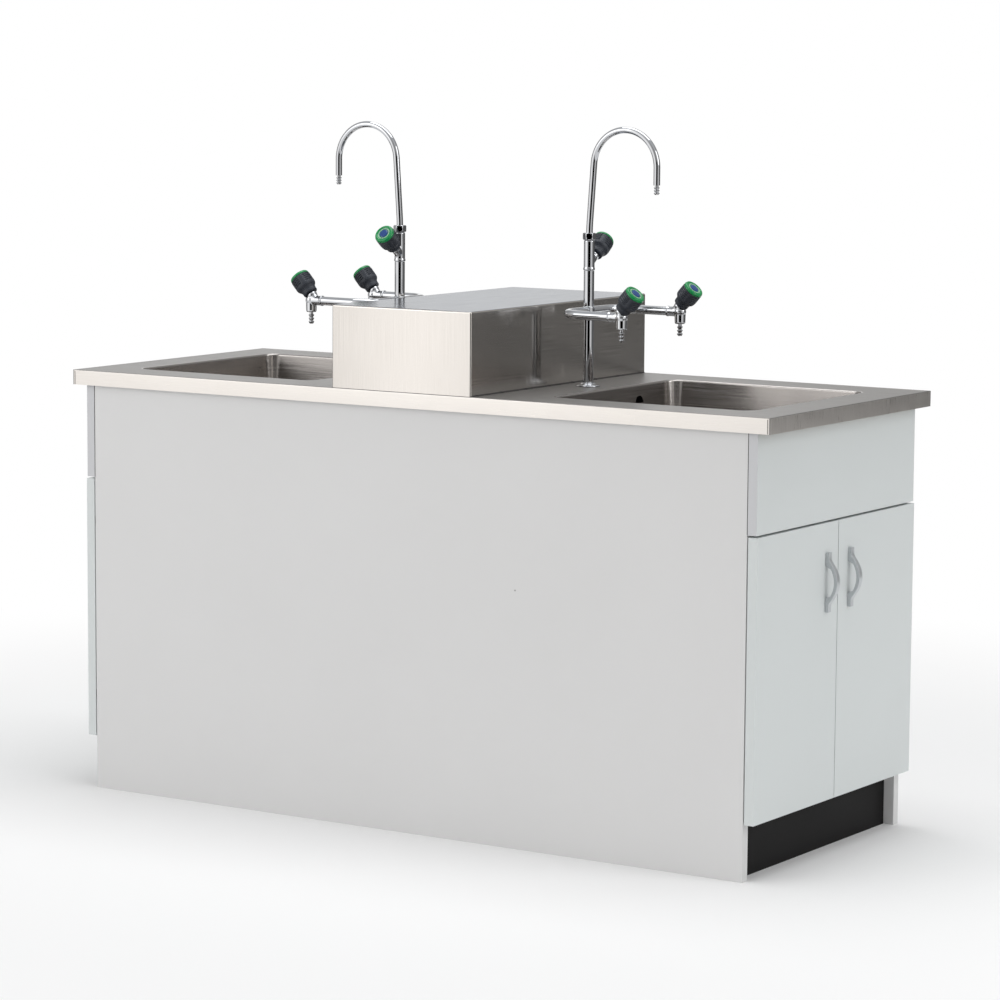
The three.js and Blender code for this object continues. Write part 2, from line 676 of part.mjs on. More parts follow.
// Swan valve: an upright body with a socket for the swan neck and a tilted bonnet on its side.
function swanValveGeometry() {
  const body = SWAN_VALVE_DIAMETER / 2;
  const ring = SWAN_VALVE_RING / 2;
  const socket = NECK_TUBE / 2 + RUN;
  const ringTop = COLUMN_HEIGHT + SWAN_VALVE_RING_LENGTH;
  const seat = SWAN_VALVE_TOP - NECK_SOCKET_DEPTH;
  const lower = [[0, COLUMN_HEIGHT], [ring, COLUMN_HEIGHT], [ring, ringTop], [body, ringTop]];
  const upper = [[body, SWAN_VALVE_TOP], [socket, SWAN_VALVE_TOP], [socket, seat], [0, seat]];
  const upright = turned([...lower, ...upper], MEDIUM);
  const bonnet = bonnetGeometry(SWAN_BONNET_LENGTH).rotateX(-tiltFromUpright(SWAN_KNOB_TILT));
  return join(upright, bonnet.translate(0, 0, COLUMN_HEIGHT + SWAN_KNOB_RISE));
}

// Swan neck: a leaning riser, a bend of nearly half a turn, and a barbed nozzle over the bowl.
function swanNeckGeometry() {
  const lean = THREE.MathUtils.degToRad(NECK_LEAN);
  const turn = THREE.MathUtils.degToRad(NECK_TURN);
  const radius = NECK_TUBE / 2;
  const foot = SWAN_VALVE_TOP - NECK_SOCKET_DEPTH + SEAT;
  const knee = SWAN_VALVE_TOP + SEAT + SWIVEL_NUT_HEIGHT + NECK_STRAIGHT;
  const centreZ = NECK_TOP - radius - NECK_BEND;
  const bendStart = centreZ + NECK_BEND * Math.sin(lean);
  const at = (x, z) => new THREE.Vector3(x, 0, z);
  const start = at((bendStart - knee) * Math.tan(lean), bendStart);
  const centre = at(start.x + NECK_BEND * Math.cos(lean), centreZ);
  const bend = new ArcCurve(centre, start, new THREE.Vector3(0, 1, 0), turn);
  const last = bend.getPoint(1);
  const path = new THREE.CurvePath();
  path.add(new THREE.LineCurve3(at(0, knee), start));
  path.add(bend);
  path.add(new THREE.LineCurve3(last, at(last.x, last.z - NECK_DROP)));
  const bar = tube(path, radius, COARSE, NECK_STEPS);
  const tail = rod(radius, foot, knee + radius / 2, COARSE);
  const top = last.z - NECK_DROP;
  const root = [[radius, 0], [radius, NECK_NOZZLE_ROOT], [0, NECK_NOZZLE_ROOT]];
  const tip = turned([...nozzleProfile(NECK_NOZZLE_LENGTH), ...root], COARSE);
  return join(bar, tail, tip.translate(last.x, 0, top));
}

// Knob: a tapered foot, a gripped barrel and a rounded cap, bored for the stem. Its foot is at 0.
function knobGeometry() {
  const bore = STEM_DIAMETER / 2 + RUN;
  const depth = STEM_LENGTH + KNOB_BORE_SPARE;
  const barrelTop = KNOB_LENGTH - KNOB_CAP_LENGTH;
  const profile = [
    [0, depth],
    [bore, depth],
    [bore, 0],
    [KNOB_BASE / 2, 0],
    [KNOB_DIAMETER / 2, KNOB_TAPER_LENGTH],
    [KNOB_DIAMETER / 2, barrelTop],
    [KNOB_TOP / 2, KNOB_LENGTH],
    [0, KNOB_LENGTH],
  ];
  return turned(profile, MEDIUM);
}

// One tap, drawn from the worktop face with its outlets over a bowl on the +X side.
function tap(name, sideNames) {
  const whole = new THREE.Group();
  add(whole, `${name}_tap_base_flange`, flangeGeometry(), chrome);
  add(whole, `${name}_tap_column`, columnGeometry(), chrome);
  const lockNut = slab(hexagon(LOCK_NUT_ACROSS, SHANK_DIAMETER / 2 + SEAT), 0, LOCK_NUT_HEIGHT, MEDIUM / 2);
  const lockNutTop = CORE_BOTTOM - WORKTOP_HEIGHT - SEAT;
  add(whole, `${name}_tap_lock_nut`, lockNut, nickelSteel).position.z = lockNutTop - LOCK_NUT_HEIGHT;
  const arms = new THREE.Group();
  arms.position.z = MANIFOLD_HEIGHT;
  arms.rotation.z = THREE.MathUtils.degToRad(MANIFOLD_TURN);
  add(arms, `${name}_tap_manifold`, manifoldGeometry(), chrome);
  whole.add(arms);
  add(whole, `${name}_tap_swan_valve`, swanValveGeometry(), chrome);
  const nut = slab(hexagon(SWIVEL_NUT_ACROSS, NECK_TUBE / 2 + RUN), 0, SWIVEL_NUT_HEIGHT, MEDIUM / 2);
  add(whole, `${name}_tap_swivel_nut`, nut, chrome).position.z = SWAN_VALVE_TOP + SEAT;
  add(whole, `${name}_tap_swan_neck`, swanNeckGeometry(), chrome);

  const sideKnobFoot = SIDE_BONNET_LENGTH + KNOB_LIFT;
  for (const [hand, side] of sideNames) {
    const valve = new THREE.Group();
    valve.position.set(VALVE_REACH, (hand * ARM_SPACING) / 2, 0);
    add(valve, `${name}_tap_${side}_valve`, sideValveGeometry(), chrome);
    const spindle = new THREE.Group();
    spindle.position.x = -SIDE_KNOB_SETBACK;
    spindle.rotation.y = tiltFromUpright(SIDE_KNOB_TILT);
    add(spindle, `${name}_tap_${side}_knob`, knobGeometry(), greyPlastic).position.z = sideKnobFoot;
    valve.add(spindle);
    arms.add(valve);
  }
  const swanSpindle = new THREE.Group();
  swanSpindle.position.z = COLUMN_HEIGHT + SWAN_KNOB_RISE;
  swanSpindle.rotation.x = -tiltFromUpright(SWAN_KNOB_TILT);
  const swanKnobFoot = SWAN_BONNET_LENGTH + KNOB_LIFT;
  add(swanSpindle, `${name}_tap_swan_knob`, knobGeometry(), greyPlastic).position.z = swanKnobFoot;
  whole.add(swanSpindle);
  return whole;
}

// Waste: a flanged outlet through the bowl's floor. Its flange sits at 0.
function wasteGeometry() {
  const flange = WASTE_FLANGE / 2;
  const outer = WASTE_TUBE / 2;
  const bore = outer - WASTE_WALL;
  const profile = [
    [bore, -WASTE_LENGTH],
    [outer, -WASTE_LENGTH],
    [outer, 0],
    [flange, 0],
    [flange, WASTE_FLANGE_THICKNESS],
    [bore, WASTE_FLANGE_THICKNESS],
  ];
  return turned([...profile, profile[0]], FINE);
}

// Bottle trap: a collar round the waste tube, a cup and a side outlet. Its collar's top is at 0.
function trapGeometry() {
  const bore = WASTE_TUBE / 2 + SEAT;
  const collar = bore + TRAP_COLLAR_WALL;
  const outer = TRAP_DIAMETER / 2;
  const inner = outer - TRAP_WALL;
  const shoulder = -TRAP_COLLAR_HEIGHT;
  const bottom = shoulder - TRAP_HEIGHT;
  const profile = [
    [0, bottom],
    [outer, bottom],
    [outer, shoulder],
    [collar, shoulder],
    [collar, 0],
    [bore, 0],
    [bore, shoulder - TRAP_WALL],
    [inner, shoulder - TRAP_WALL],
    [inner, bottom + TRAP_WALL],
    [0, bottom + TRAP_WALL],
  ];
  const cup = turned(profile, FINE);
  const axis = shoulder - TRAP_OUTLET_DROP;
  const along = (radius, from, to) =>
    rod(radius, from, to, MEDIUM).rotateY(-Math.PI / 2).translate(0, 0, axis);
  const pipe = along(TRAP_OUTLET / 2, inner + TRAP_WALL / 2, TRAP_OUTLET_LENGTH);
  const pipeBore = along(TRAP_OUTLET / 2 - TRAP_WALL, inner - TRAP_WALL, TRAP_OUTLET_LENGTH + CUT_PAST);
  return cut(join(cup, pipe), pipeBore);
}

// One bowl with its waste and trap, drawn on the +X side.
function sink(name) {
  const whole = new THREE.Group();
  add(whole, `${name}_bowl`, bowlGeometry(), brushedSteel);
  const flangeRadius = WASTE_FLANGE / 2;
  const floorInset = BOWL_RIM + BOWL_DRAFT + BOWL_FLOOR_FILLET;
  const run = BOWL_LENGTH / 2 - floorInset - DRAIN_HOLE / 2;
  const rise = (BOWL_FALL * (flangeRadius - DRAIN_HOLE / 2)) / run;
  const seat = WORKTOP_HEIGHT - BOWL_DEPTH - BOWL_FALL + rise + SEAT;
  add(whole, `${name}_waste`, wasteGeometry(), nickelSteel).position.z = seat;
  const trapTop = seat - WASTE_LENGTH + TRAP_OVERLAP;
  add(whole, `${name}_trap`, trapGeometry(), whitePlastic).position.z = trapTop;
  return whole;
}

const group = new THREE.Group();
group.name = "laboratory_sink_unit";

addBoard(
  group,
  "front_panel",
  [-PANEL_END, -PANEL_FACE, 0],
  [PANEL_END, -PANEL_BACK, PANEL_TOP],
  melamineBoard,
);
addBoard(
  group,
  "rear_panel",
  [-PANEL_END, PANEL_BACK, 0],
  [PANEL_END, PANEL_FACE, PANEL_TOP],
  melamineBoard,
);
addBoard(
  group,
  "cabinet_floor",
  [-PANEL_END, -INNER_WIDTH / 2, PLINTH_HEIGHT],
  [PANEL_END, INNER_WIDTH / 2, FLOOR_TOP],
  melamineBoard,
);
addBoard(
  group,
  "centre_partition",
  [-BOARD / 2, -INNER_WIDTH / 2, FLOOR_TOP + SEAT],
  [BOARD / 2, INNER_WIDTH / 2, CARCASS_TOP],
  melamineBoard,
);
add(group, "worktop", worktopGeometry(), brushedSteel);
add(group, "worktop_core", coreGeometry(), rawBoard);
add(group, "service_box", riserGeometry(), brushedSteel);

// The left end, bowl and tap are the right ones turned half round about Z.
const ends = [
  ["right", 0, [[-1, "front"], [1, "rear"]]],
  ["left", Math.PI, [[1, "front"], [-1, "rear"]]],
];
for (const [name, turn, sideNames] of ends) {
  const half = new THREE.Group();
  half.rotation.z = turn;
  half.add(cupboardEnd(name, sideNames));
  const bowl = sink(name);
  bowl.position.x = BOWL_X;
  half.add(bowl);
  const fitting = tap(name, sideNames);
  fitting.position.set(TAP_X, 0, WORKTOP_HEIGHT);
  half.add(fitting);
  group.add(half);
}

export default group;
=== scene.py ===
"""Looks of a laboratory sink unit: brushed stainless top and bowls, chromed taps, melamine cabinet.

Shapes are worked out in millimetres as whole arrays and turned to metres when a piece is made.
"""

import math

import bpy
import numpy as np
from mathutils import Matrix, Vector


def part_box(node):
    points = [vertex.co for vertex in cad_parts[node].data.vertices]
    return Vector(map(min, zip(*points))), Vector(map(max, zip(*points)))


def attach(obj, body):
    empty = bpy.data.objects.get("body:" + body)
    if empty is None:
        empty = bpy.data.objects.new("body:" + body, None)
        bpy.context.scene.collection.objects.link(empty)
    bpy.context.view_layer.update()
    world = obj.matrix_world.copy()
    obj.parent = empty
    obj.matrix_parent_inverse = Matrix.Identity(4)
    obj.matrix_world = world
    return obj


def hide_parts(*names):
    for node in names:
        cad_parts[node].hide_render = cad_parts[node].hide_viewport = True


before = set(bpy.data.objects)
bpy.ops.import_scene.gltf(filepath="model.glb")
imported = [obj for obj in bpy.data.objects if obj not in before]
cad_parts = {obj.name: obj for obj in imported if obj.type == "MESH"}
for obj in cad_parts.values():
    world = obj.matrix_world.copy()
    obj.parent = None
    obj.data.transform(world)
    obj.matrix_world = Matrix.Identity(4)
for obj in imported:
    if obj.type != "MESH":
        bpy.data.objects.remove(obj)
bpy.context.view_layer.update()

MM = 0.001
ENDS = {"right": 0.0, "left": math.pi}


def node_box(node):
    """Lowest and highest corner of a node in millimetres."""
    low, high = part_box(node)
    return np.array(low) / MM, np.array(high) / MM


# Places taken from the frame
TOP_LOW, TOP_HIGH = node_box("worktop")
TOP_FACE = TOP_HIGH[2]
BOX_LOW, BOX_HIGH = node_box("service_box")
BOWL_LOW, BOWL_HIGH = node_box("right_bowl")
BOWL_X = (BOWL_LOW[0] + BOWL_HIGH[0]) / 2
COLUMN_LOW, COLUMN_HIGH = node_box("right_tap_column")
TAP_X = (COLUMN_LOW[0] + COLUMN_HIGH[0]) / 2
WASTE_FACE = node_box("right_waste")[1][2]

# Gap between two pieces that are fixed to one another
SEAT = 0.3

# Fascias
BAND_PROUD = 0.3
BAND_SETBACK = 0.8
JOINT_HALF = 0.6

# Worktop edge and service box
FOLD_PROUD = 0.25
SEAM_SETBACK = 4.5
BOX_BEND = 3.0
TACK_REACH = 280
TACK_STEP = 80

# Bowls
RIM_RADIUS = 4
WALL_DRAFT = 12
CORNER_RADIUS = 28
FLOOR_FILLET = 25
FLOOR_FALL = 5
SHEET = 1.2
BOWL_DEPTH = 230
DRAIN_RADIUS = 26
OVERFLOW_RADIUS = 14
OVERFLOW_DROP = 35
OVERFLOW_OFFSET = 90
OVERFLOW_LEAN = 0.9

# Taps, from the worktop face and from the column's axis
COLUMN_RADIUS = 9.5
COLUMN_TOP = 211
SHANK_RADIUS = 8.5
SHANK_LENGTH = 70
FLANGE_RADIUS = 22
FLANGE_HEIGHT = 7.4
MANIFOLD_HEIGHT = 137
MANIFOLD_RADIUS = 8.2
MANIFOLD_BEND = 45
ARM_OFFSET = 94.5
ARM_END = 108
VALVE_REACH = 136
SIDE_TILT = math.radians(47)
SIDE_KNOB_FOOT = 17.4
SIDE_KNOB_SETBACK = 11
MANIFOLD_TURN = math.radians(-3)
OUTLET_LENGTH = 22
NOZZLE_LENGTH = 22
SWAN_TILT = math.radians(38)
SWAN_KNOB_FOOT = 24.4
SWAN_KNOB_HEIGHT = 224
SWAN_VALVE_TOP = 265.5
NUT_HEIGHT = 13
NECK_RADIUS = 6
NECK_BEND = 66
NECK_TOP = 471
NECK_LEAN = math.radians(4)
NECK_TURN = math.radians(177)
NECK_KNEE = SWAN_VALVE_TOP + SEAT + NUT_HEIGHT + 8
NECK_DROP = 30
NECK_TIP = 17
NUT_FLAT = 10.4
CAST_VOXEL = 0.8

# Knobs, from the foot up
KNOB_RADIUS = 19.6
KNOB_FOOT_RADIUS = 13.8
KNOB_TOP = 38.2
GRIP_FOOT = 17
GRIP_LOW = 19.5
GRIP_HIGH = 36
GRIP_PITCH = 4.1
GRIP_DEPTH = 1.5
FLAT_DEPTH = 0.5


# Surfaces

def lofted(rings, looped=False):
    """Rings of equal count skinned one to the next. Fans close the two end rings, or the last ring
    joins the first when looped. Rings run along an axis and turn anticlockwise about it."""
    rings = np.asarray(rings, float)
    rows, count = rings.shape[:2]
    points = rings.reshape(-1, 3)
    row = np.arange(rows if looped else rows - 1)[:, None]
    column = np.arange(count)[None, :]
    row_next = (row + 1) % rows
    column_next = (column + 1) % count
    corners = [
        row * count + column,
        row * count + column_next,
        row_next * count + column_next,
        row_next * count + column,
    ]
    faces = np.stack(corners, -1).reshape(-1, 4).tolist()
    if not looped:
        points = np.vstack([points, rings[0].mean(0), rings[-1].mean(0)])
        first = np.arange(count)
        second = (first + 1) % count
        last = (rows - 1) * count
        low_hub = np.full(count, rows * count)
        faces += np.stack([second, first, low_hub], -1).tolist()
        faces += np.stack([last + first, last + second, low_hub + 1], -1).tolist()
    return points, faces


def turned(profile, facets=64, looped=False):
    """A profile of (radius, height) turned about Z, running up the outside."""
    profile = np.asarray(profile, float)
    turn = np.linspace(0, 2 * np.pi, facets, endpoint=False)
    radius = profile[:, :1]
    height = np.repeat(profile[:, 1:], facets, axis=1)
    rings = np.stack([radius * np.cos(turn), radius * np.sin(turn), height], -1)
    return lofted(rings, looped)


def eased(profile, radius, steps=4):
    """Each inner corner of a polyline replaced by a quadratic curve that starts a radius before it."""
    line = np.asarray(profile, float)
    corner = line[1:-1]
    back = line[:-2] - corner
    ahead = line[2:] - corner
    back_length = np.linalg.norm(back, axis=1, keepdims=True)
    ahead_length = np.linalg.norm(ahead, axis=1, keepdims=True)
    reach = np.minimum(radius, 0.45 * np.minimum(back_length, ahead_length))
    start = (corner + back / back_length * reach)[:, None]
    end = (corner + ahead / ahead_length * reach)[:, None]
    t = np.linspace(0, 1, steps + 1)[None, :, None]
    curve = (1 - t) ** 2 * start + 2 * t * (1 - t) * corner[:, None] + t**2 * end
    return np.vstack([line[:1], curve.reshape(-1, line.shape[1]), line[-1:]])


def swept(path, radius, across, facets=32):
    """A circle carried along a path that stays square to one direction, `across`."""
    path = np.asarray(path, float)
    along = np.gradient(path, axis=0)
    along /= np.linalg.norm(along, axis=1, keepdims=True)
    side = np.cross(np.asarray(across, float), along)
    turn = np.linspace(0, 2 * np.pi, facets, endpoint=False)[None, :, None]
    over = np.cross(along, side)
    rings = path[:, None] + radius * (np.cos(turn) * side[:, None] + np.sin(turn) * over[:, None])
    return lofted(rings)


def rounded_ring(half_x, half_y, radius, steps=12):
    """A rectangle with round corners, anticlockwise, as points in XY."""
    quarter = np.linspace(0, np.pi / 2, steps + 1)[None, :]
    angle = np.arange(4)[:, None] * np.pi / 2 + quarter
    sign_x = np.array([1, -1, -1, 1])[:, None]
    sign_y = np.array([1, 1, -1, -1])[:, None]
    x = sign_x * (half_x - radius) + radius * np.cos(angle)
    y = sign_y * (half_y - radius) + radius * np.sin(angle)
    return np.stack([x, y], -1).reshape(-1, 2)


def raised(outline, height):
    """A flat outline at one height."""
    return np.column_stack([outline, np.full(len(outline), height)])


def joined(*parts):
    """Several surfaces as one list of points and faces."""
    points = []
    faces = []
    start = 0
    for part_points, part_faces in parts:
        points.append(part_points)
        faces += [[index + start for index in face] for face in part_faces]
        start += len(part_points)
    return np.vstack(points), faces


def placed(part, matrix):
    """A surface moved by a 4 by 4 matrix."""
    points, faces = part
    matrix = np.asarray(matrix, float)
    return points @ matrix[:3, :3].T + matrix[:3, 3], faces


def turn_about(axis, angle, shift=(0, 0, 0)):
    """A turn about X, Y or Z followed by a shift."""
    matrix = np.array(Matrix.Rotation(angle, 4, axis))
    matrix[:3, 3] = shift
    return matrix


def shift_by(shift):
    """A shift with no turn."""
    return turn_about("Z", 0, shift)


def piece(name, part, material, body, replaced=(), sharp=35):
    """A named object made from a surface in millimetres, riding on a body. Edges that turn by more
    than `sharp` degrees stay crisp."""
    points, faces = part
    mesh = bpy.data.meshes.new(name)
    mesh.from_pydata((points * MM).tolist(), [], faces)
    mesh.shade_smooth()
    mesh.set_sharp_from_angle(angle=math.radians(sharp))
    mesh.materials.append(material)
    made = bpy.data.objects.new(name, mesh)
    bpy.context.collection.objects.link(made)
    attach(made, body)
    if replaced:
        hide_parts(*replaced)
    return made


def face_finish(made, material, axis):
    """A further material on the faces of a piece that look mostly along one axis."""
    mostly = 0.8
    faces = made.data.polygons
    normals = np.zeros(3 * len(faces))
    slots = np.zeros(len(faces), int)
    faces.foreach_get("normal", normals)
    faces.foreach_get("material_index", slots)
    along = np.abs(normals.reshape(-1, 3)[:, axis]) > mostly
    slots[along] = len(made.data.materials)
    made.data.materials.append(material)
    faces.foreach_set("material_index", slots)


# Materials

# Depth that a bump of full strength stands for, in metres, and the strength of a barely felt one
BUMP_DEPTH = 0.1 * MM
FAINT = 0.06


def linear(hex_colour):
    """An sRGB hex colour as linear RGBA, by the curve of the sRGB standard."""
    channels = np.array([int(hex_colour[i : i + 2], 16) / 255 for i in (1, 3, 5)])
    values = np.where(channels <= 0.04045, channels / 12.92, ((channels + 0.055) / 1.055) ** 2.4)
    return (*values.tolist(), 1.0)


def add_node(tree, kind, inputs=None, **settings):
    """One shader node with its settings and its values or links."""
    made = tree.nodes.new(kind)
    for key, value in settings.items():
        setattr(made, key, value)
    for key, value in (inputs or {}).items():
        if isinstance(value, bpy.types.NodeSocket):
            tree.links.new(value, made.inputs[key])
        else:
            made.inputs[key].default_value = value
    return made


def new_material(name, **values):
    """A material with one principled shader, and the object coordinates its patterns read."""
    material = bpy.data.materials.new(name)
    material.use_nodes = True
    tree = material.node_tree
    tree.nodes.clear()
    sockets = {key.replace("_", " "): value for key, value in values.items()}
    shader = add_node(tree, "ShaderNodeBsdfPrincipled", sockets)
    add_node(tree, "ShaderNodeOutputMaterial", {"Surface": shader.outputs[0]})
    where = add_node(tree, "ShaderNodeTexCoord").outputs["Object"]
    return material, tree, shader, where


def brushed_stainless(name, hex_light, hex_dark, grain, roughness, smear=0.0, **values):
    """Stainless sheet brushed with grit: long fine scratches. `grain` gives the mark's length along
    X, Y and Z in millimetres, drawn coarser than the real 0.1 mm scratch so that it shows. Scratches
    that run level smear a reflection up and down, by `smear`."""
    cloud_size = 180
    cloud_share = 0.25
    quarter_turn = 0.25
    faintest = 0.3
    strongest = 0.7
    polished = 0.75 * roughness
    scratched = 1.3 * roughness
    material, tree, shader, where = new_material(name, Metallic=1.0, **values)
    if smear:
        around = add_node(tree, "ShaderNodeTangent", direction_type="RADIAL", axis="Z")
        tree.links.new(around.outputs[0], shader.inputs["Tangent"])
        shader.inputs["Anisotropic"].default_value = smear
        shader.inputs["Anisotropic Rotation"].default_value = quarter_turn
    scale = [1 / (length * MM) for length in grain]
    mapped = add_node(tree, "ShaderNodeMapping", {"Vector": where, "Scale": scale}).outputs[0]
    scratches = {"Vector": mapped, "Scale": 1.0, "Detail": 4.0}
    marks = add_node(tree, "ShaderNodeTexNoise", scratches).outputs["Fac"]
    patches = {"Vector": where, "Scale": 1 / (cloud_size * MM)}
    cloud = add_node(tree, "ShaderNodeTexNoise", patches).outputs["Fac"]
    mixed = {"Factor": cloud_share, "A": marks, "B": cloud}
    both = add_node(tree, "ShaderNodeMix", mixed).outputs["Result"]
    ramp = add_node(tree, "ShaderNodeValToRGB", {"Fac": both})
    ramp.color_ramp.elements[0].position = faintest
    ramp.color_ramp.elements[0].color = linear(hex_dark)
    ramp.color_ramp.elements[1].position = strongest
    ramp.color_ramp.elements[1].color = linear(hex_light)
    tree.links.new(ramp.outputs[0], shader.inputs["Base Color"])
    span = {"From Min": faintest, "From Max": strongest, "To Min": polished, "To Max": scratched}
    rough = add_node(tree, "ShaderNodeMapRange", {"Value": marks, **span})
    tree.links.new(rough.outputs[0], shader.inputs["Roughness"])
    bump = add_node(tree, "ShaderNodeBump", {"Height": marks, "Strength": FAINT, "Distance": BUMP_DEPTH})
    tree.links.new(bump.outputs[0], shader.inputs["Normal"])
    return material


def melamine_board(name, hex_face, hex_speck, roughness):
    """Paper-faced melamine pressed on chipboard: an even satin face with a faint press texture and
    a very rare dark speck, where a point of a coarse cell pattern happens to meet the face."""
    cloud_size = 300
    speck_pitch = 230
    peel_size = 2.5
    material, tree, shader, where = new_material(name, Roughness=roughness)
    patches = {"Vector": where, "Scale": 1 / (cloud_size * MM), "Detail": 3.0}
    cloud = add_node(tree, "ShaderNodeTexNoise", patches)
    base = np.array(linear(hex_face))
    darker = (*(base[:3] * 0.975), 1)
    lighter = (*(base[:3] * 1.02), 1)
    tone = add_node(
        tree,
        "ShaderNodeMix",
        {"Factor": cloud.outputs["Fac"], "A": darker, "B": lighter},
        data_type="RGBA",
    )
    speck = add_node(tree, "ShaderNodeTexVoronoi", {"Vector": where, "Scale": 1 / (speck_pitch * MM)})
    # A speck is about 1 mm in radius and fades over the next millimetre, in shares of its pitch
    spot = {"From Min": 0.004, "From Max": 0.009, "To Min": 0.75, "To Max": 0.0}
    mask = add_node(tree, "ShaderNodeMapRange", {"Value": speck.outputs["Distance"], **spot})
    spotted = add_node(
        tree,
        "ShaderNodeMix",
        {"Factor": mask.outputs[0], "A": tone.outputs["Result"], "B": linear(hex_speck)},
        data_type="RGBA",
    )
    tree.links.new(spotted.outputs["Result"], shader.inputs["Base Color"])
    pressed = {"Vector": where, "Scale": 1 / (peel_size * MM), "Detail": 2.0}
    peel = add_node(tree, "ShaderNodeTexNoise", pressed).outputs["Fac"]
    bump = add_node(tree, "ShaderNodeBump", {"Height": peel, "Strength": FAINT, "Distance": BUMP_DEPTH})
    tree.links.new(bump.outputs[0], shader.inputs["Normal"])
    return material


def mottled(name, hex_low, hex_high, patch, roughness, bump_size, bump_strength, **values):
    """A plain moulded, plated or painted surface: two close tones in soft patches `patch` across and a
    fine grain `bump_size` across, both in millimetres."""
    material, tree, shader, where = new_material(name, Roughness=roughness, **values)
    patches = {"Vector": where, "Scale": 1 / (patch * MM), "Detail": 4.0}
    cloud = add_node(tree, "ShaderNodeTexNoise", patches)
    tone = add_node(
        tree,
        "ShaderNodeMix",
        {"Factor": cloud.outputs["Fac"], "A": linear(hex_low), "B": linear(hex_high)},
        data_type="RGBA",
    )
    tree.links.new(tone.outputs["Result"], shader.inputs["Base Color"])
    fine = {"Vector": where, "Scale": 1 / (bump_size * MM), "Detail": 2.0}
    grain = add_node(tree, "ShaderNodeTexNoise", fine).outputs["Fac"]
    relief = {"Height": grain, "Strength": bump_strength, "Distance": BUMP_DEPTH}
    bump = add_node(tree, "ShaderNodeBump", relief)
    tree.links.new(bump.outputs[0], shader.inputs["Normal"])
    return material


# Stainless sheet brushed along its length: a dull grey sheen that mirrors no shapes
top_steel = brushed_stainless("brushed_stainless_worktop", "#989694", "#8f8d8b", (110, 1.0, 1.0), 0.42)
# The same sheet on its folded edge, drawn far paler than the top: painted highlight for the light its
# upright face catches. A pale, level-grained edge
edge_steel_painted_highlight = brushed_stainless("brushed_stainless_edge_painted_highlight", "#e4e0dc", "#d8d4cf", (45, 0.8, 0.8), 0.36)
# Its ends, rubbed across: short upright marks, drawn as pale as the edge for the same painted highlight
end_steel_painted_highlight = brushed_stainless("brushed_stainless_end_edge_painted_highlight", "#e2deda", "#d0ccc7", (0.8, 0.8, 30), 0.36)
# Folded cover brushed upright: a pale, faintly streaked front
box_steel = brushed_stainless("brushed_stainless_box", "#d5d1cd", "#c5c1bc", (1.0, 1.0, 120), 0.2)
# Its long sides, left brighter and grained level: the tap beside them shows as long upright streaks
side_steel = brushed_stainless(
    "bright_stainless_box_side", "#d5d1cd", "#c5c1bc", (1.0, 120, 1.0), 0.13, smear=0.97
)
# Its lid: the cover's steel drawn a darker, cool grey than its front, painted shade for a top that takes
# less light, and it mirrors the tap softly.
# Scratches shade each other, so that it is a little duller at a low angle
lid_steel_painted_shade = brushed_stainless(
    "brushed_stainless_lid_painted_shade", "#8c8e92", "#84868a", (1.0, 110, 1.0), 0.18, Specular_Tint=linear("#e3e5e8")
)
# Pressed and polished round by wheel: a dark, level-grained bowl with upright streaks in its corners
bowl_steel = brushed_stainless(
    "satin_stainless_bowl", "#b5b1ae", "#a9a5a2", (120, 120, 1.2), 0.21, smear=0.97
)
# Melamine paper pressed on chipboard: an even, light grey satin face
panel_melamine = melamine_board("light_grey_melamine_panel", "#dcdcdc", "#6d6a68", 0.5)
# The same on the doors, a little cooler and smoother
door_melamine = melamine_board("cool_grey_melamine_door", "#d6dbdb", "#7c7f80", 0.42)
# Melamine edge band ironed on: a slightly darker strip
band_melamine = melamine_board("grey_edge_band", "#cbcccf", "#8a8b8e", 0.45)
# Pressed chips with no face: a tan, speckled, rough board
raw_core = mottled("raw_moisture_board", "#a98d64", "#c0a67e", 6, 0.85, 0.8, 0.4)
# Black laminate, scuffed by feet: nearly black, with little shine
plinth_laminate = mottled(
    "black_scuffed_laminate", "#080708", "#131112", 60, 0.62, 2.0, 0.15, Specular_IOR_Level=0.22
)
# Polished chrome on brass: hard dark and bright stripes along every tube
tap_chrome = mottled("polished_chrome", "#bcbec2", "#c8cacd", 40, 0.05, 20.0, 0.01, Metallic=1.0)
# Nickel plate on stamped steel: a soft grey shine
plated_steel = mottled("nickel_plated_steel", "#a9aaab", "#c2c3c4", 20, 0.3, 1.0, 0.05, Metallic=1.0)
# Anodised aluminium, bead blasted: a fine, silky grey
handle_alloy = mottled("satin_anodised_aluminium", "#bcc0c3", "#c8ccce", 25, 0.36, 0.6, 0.06, Metallic=0.6)
# Moulded plastic with a fine tool grain: a dull blue-black
knob_plastic = mottled("charcoal_moulded_plastic", "#272c34", "#323741", 15, 0.5, 0.7, 0.12)
# Glossy moulded plastics of the caps: clean colour with a small highlight
green_plastic = mottled("green_glossy_cap", "#067a3e", "#0c9450", 12, 0.22, 2.0, 0.03)
pale_plastic = mottled("pale_green_cap_ring", "#84ab92", "#9cc0a9", 12, 0.3, 2.0, 0.03)
blue_plastic = mottled("blue_glossy_cap", "#143a76", "#1c4788", 8, 0.2, 2.0, 0.03)
# Moulded polypropylene: a milky white with a waxy sheen
trap_plastic = mottled("white_polypropylene", "#dededa", "#ebebe7", 30, 0.45, 1.5, 0.06)
# Unlit hole: black with no shine at all
dark_hole = mottled("dark_opening", "#050505", "#0a0909", 10, 0.9, 3.0, 0.1, Specular_IOR_Level=0.0)
# Sealant that has picked up dirt: a thin dark line. The same near-black plate over the fascia joints is
# painted shadow
sealant_and_painted_shadow = mottled("dark_sealant_bead_and_painted_shadow", "#171514", "#2a2625", 10, 0.5, 3.0, 0.2)


# CAD nodes that keep their own shape

def dress(material, *nodes):
    """The named nodes take a material in place of their plain one."""
    for name in nodes:
        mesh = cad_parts[name].data
        mesh.materials.clear()
        mesh.materials.append(material)


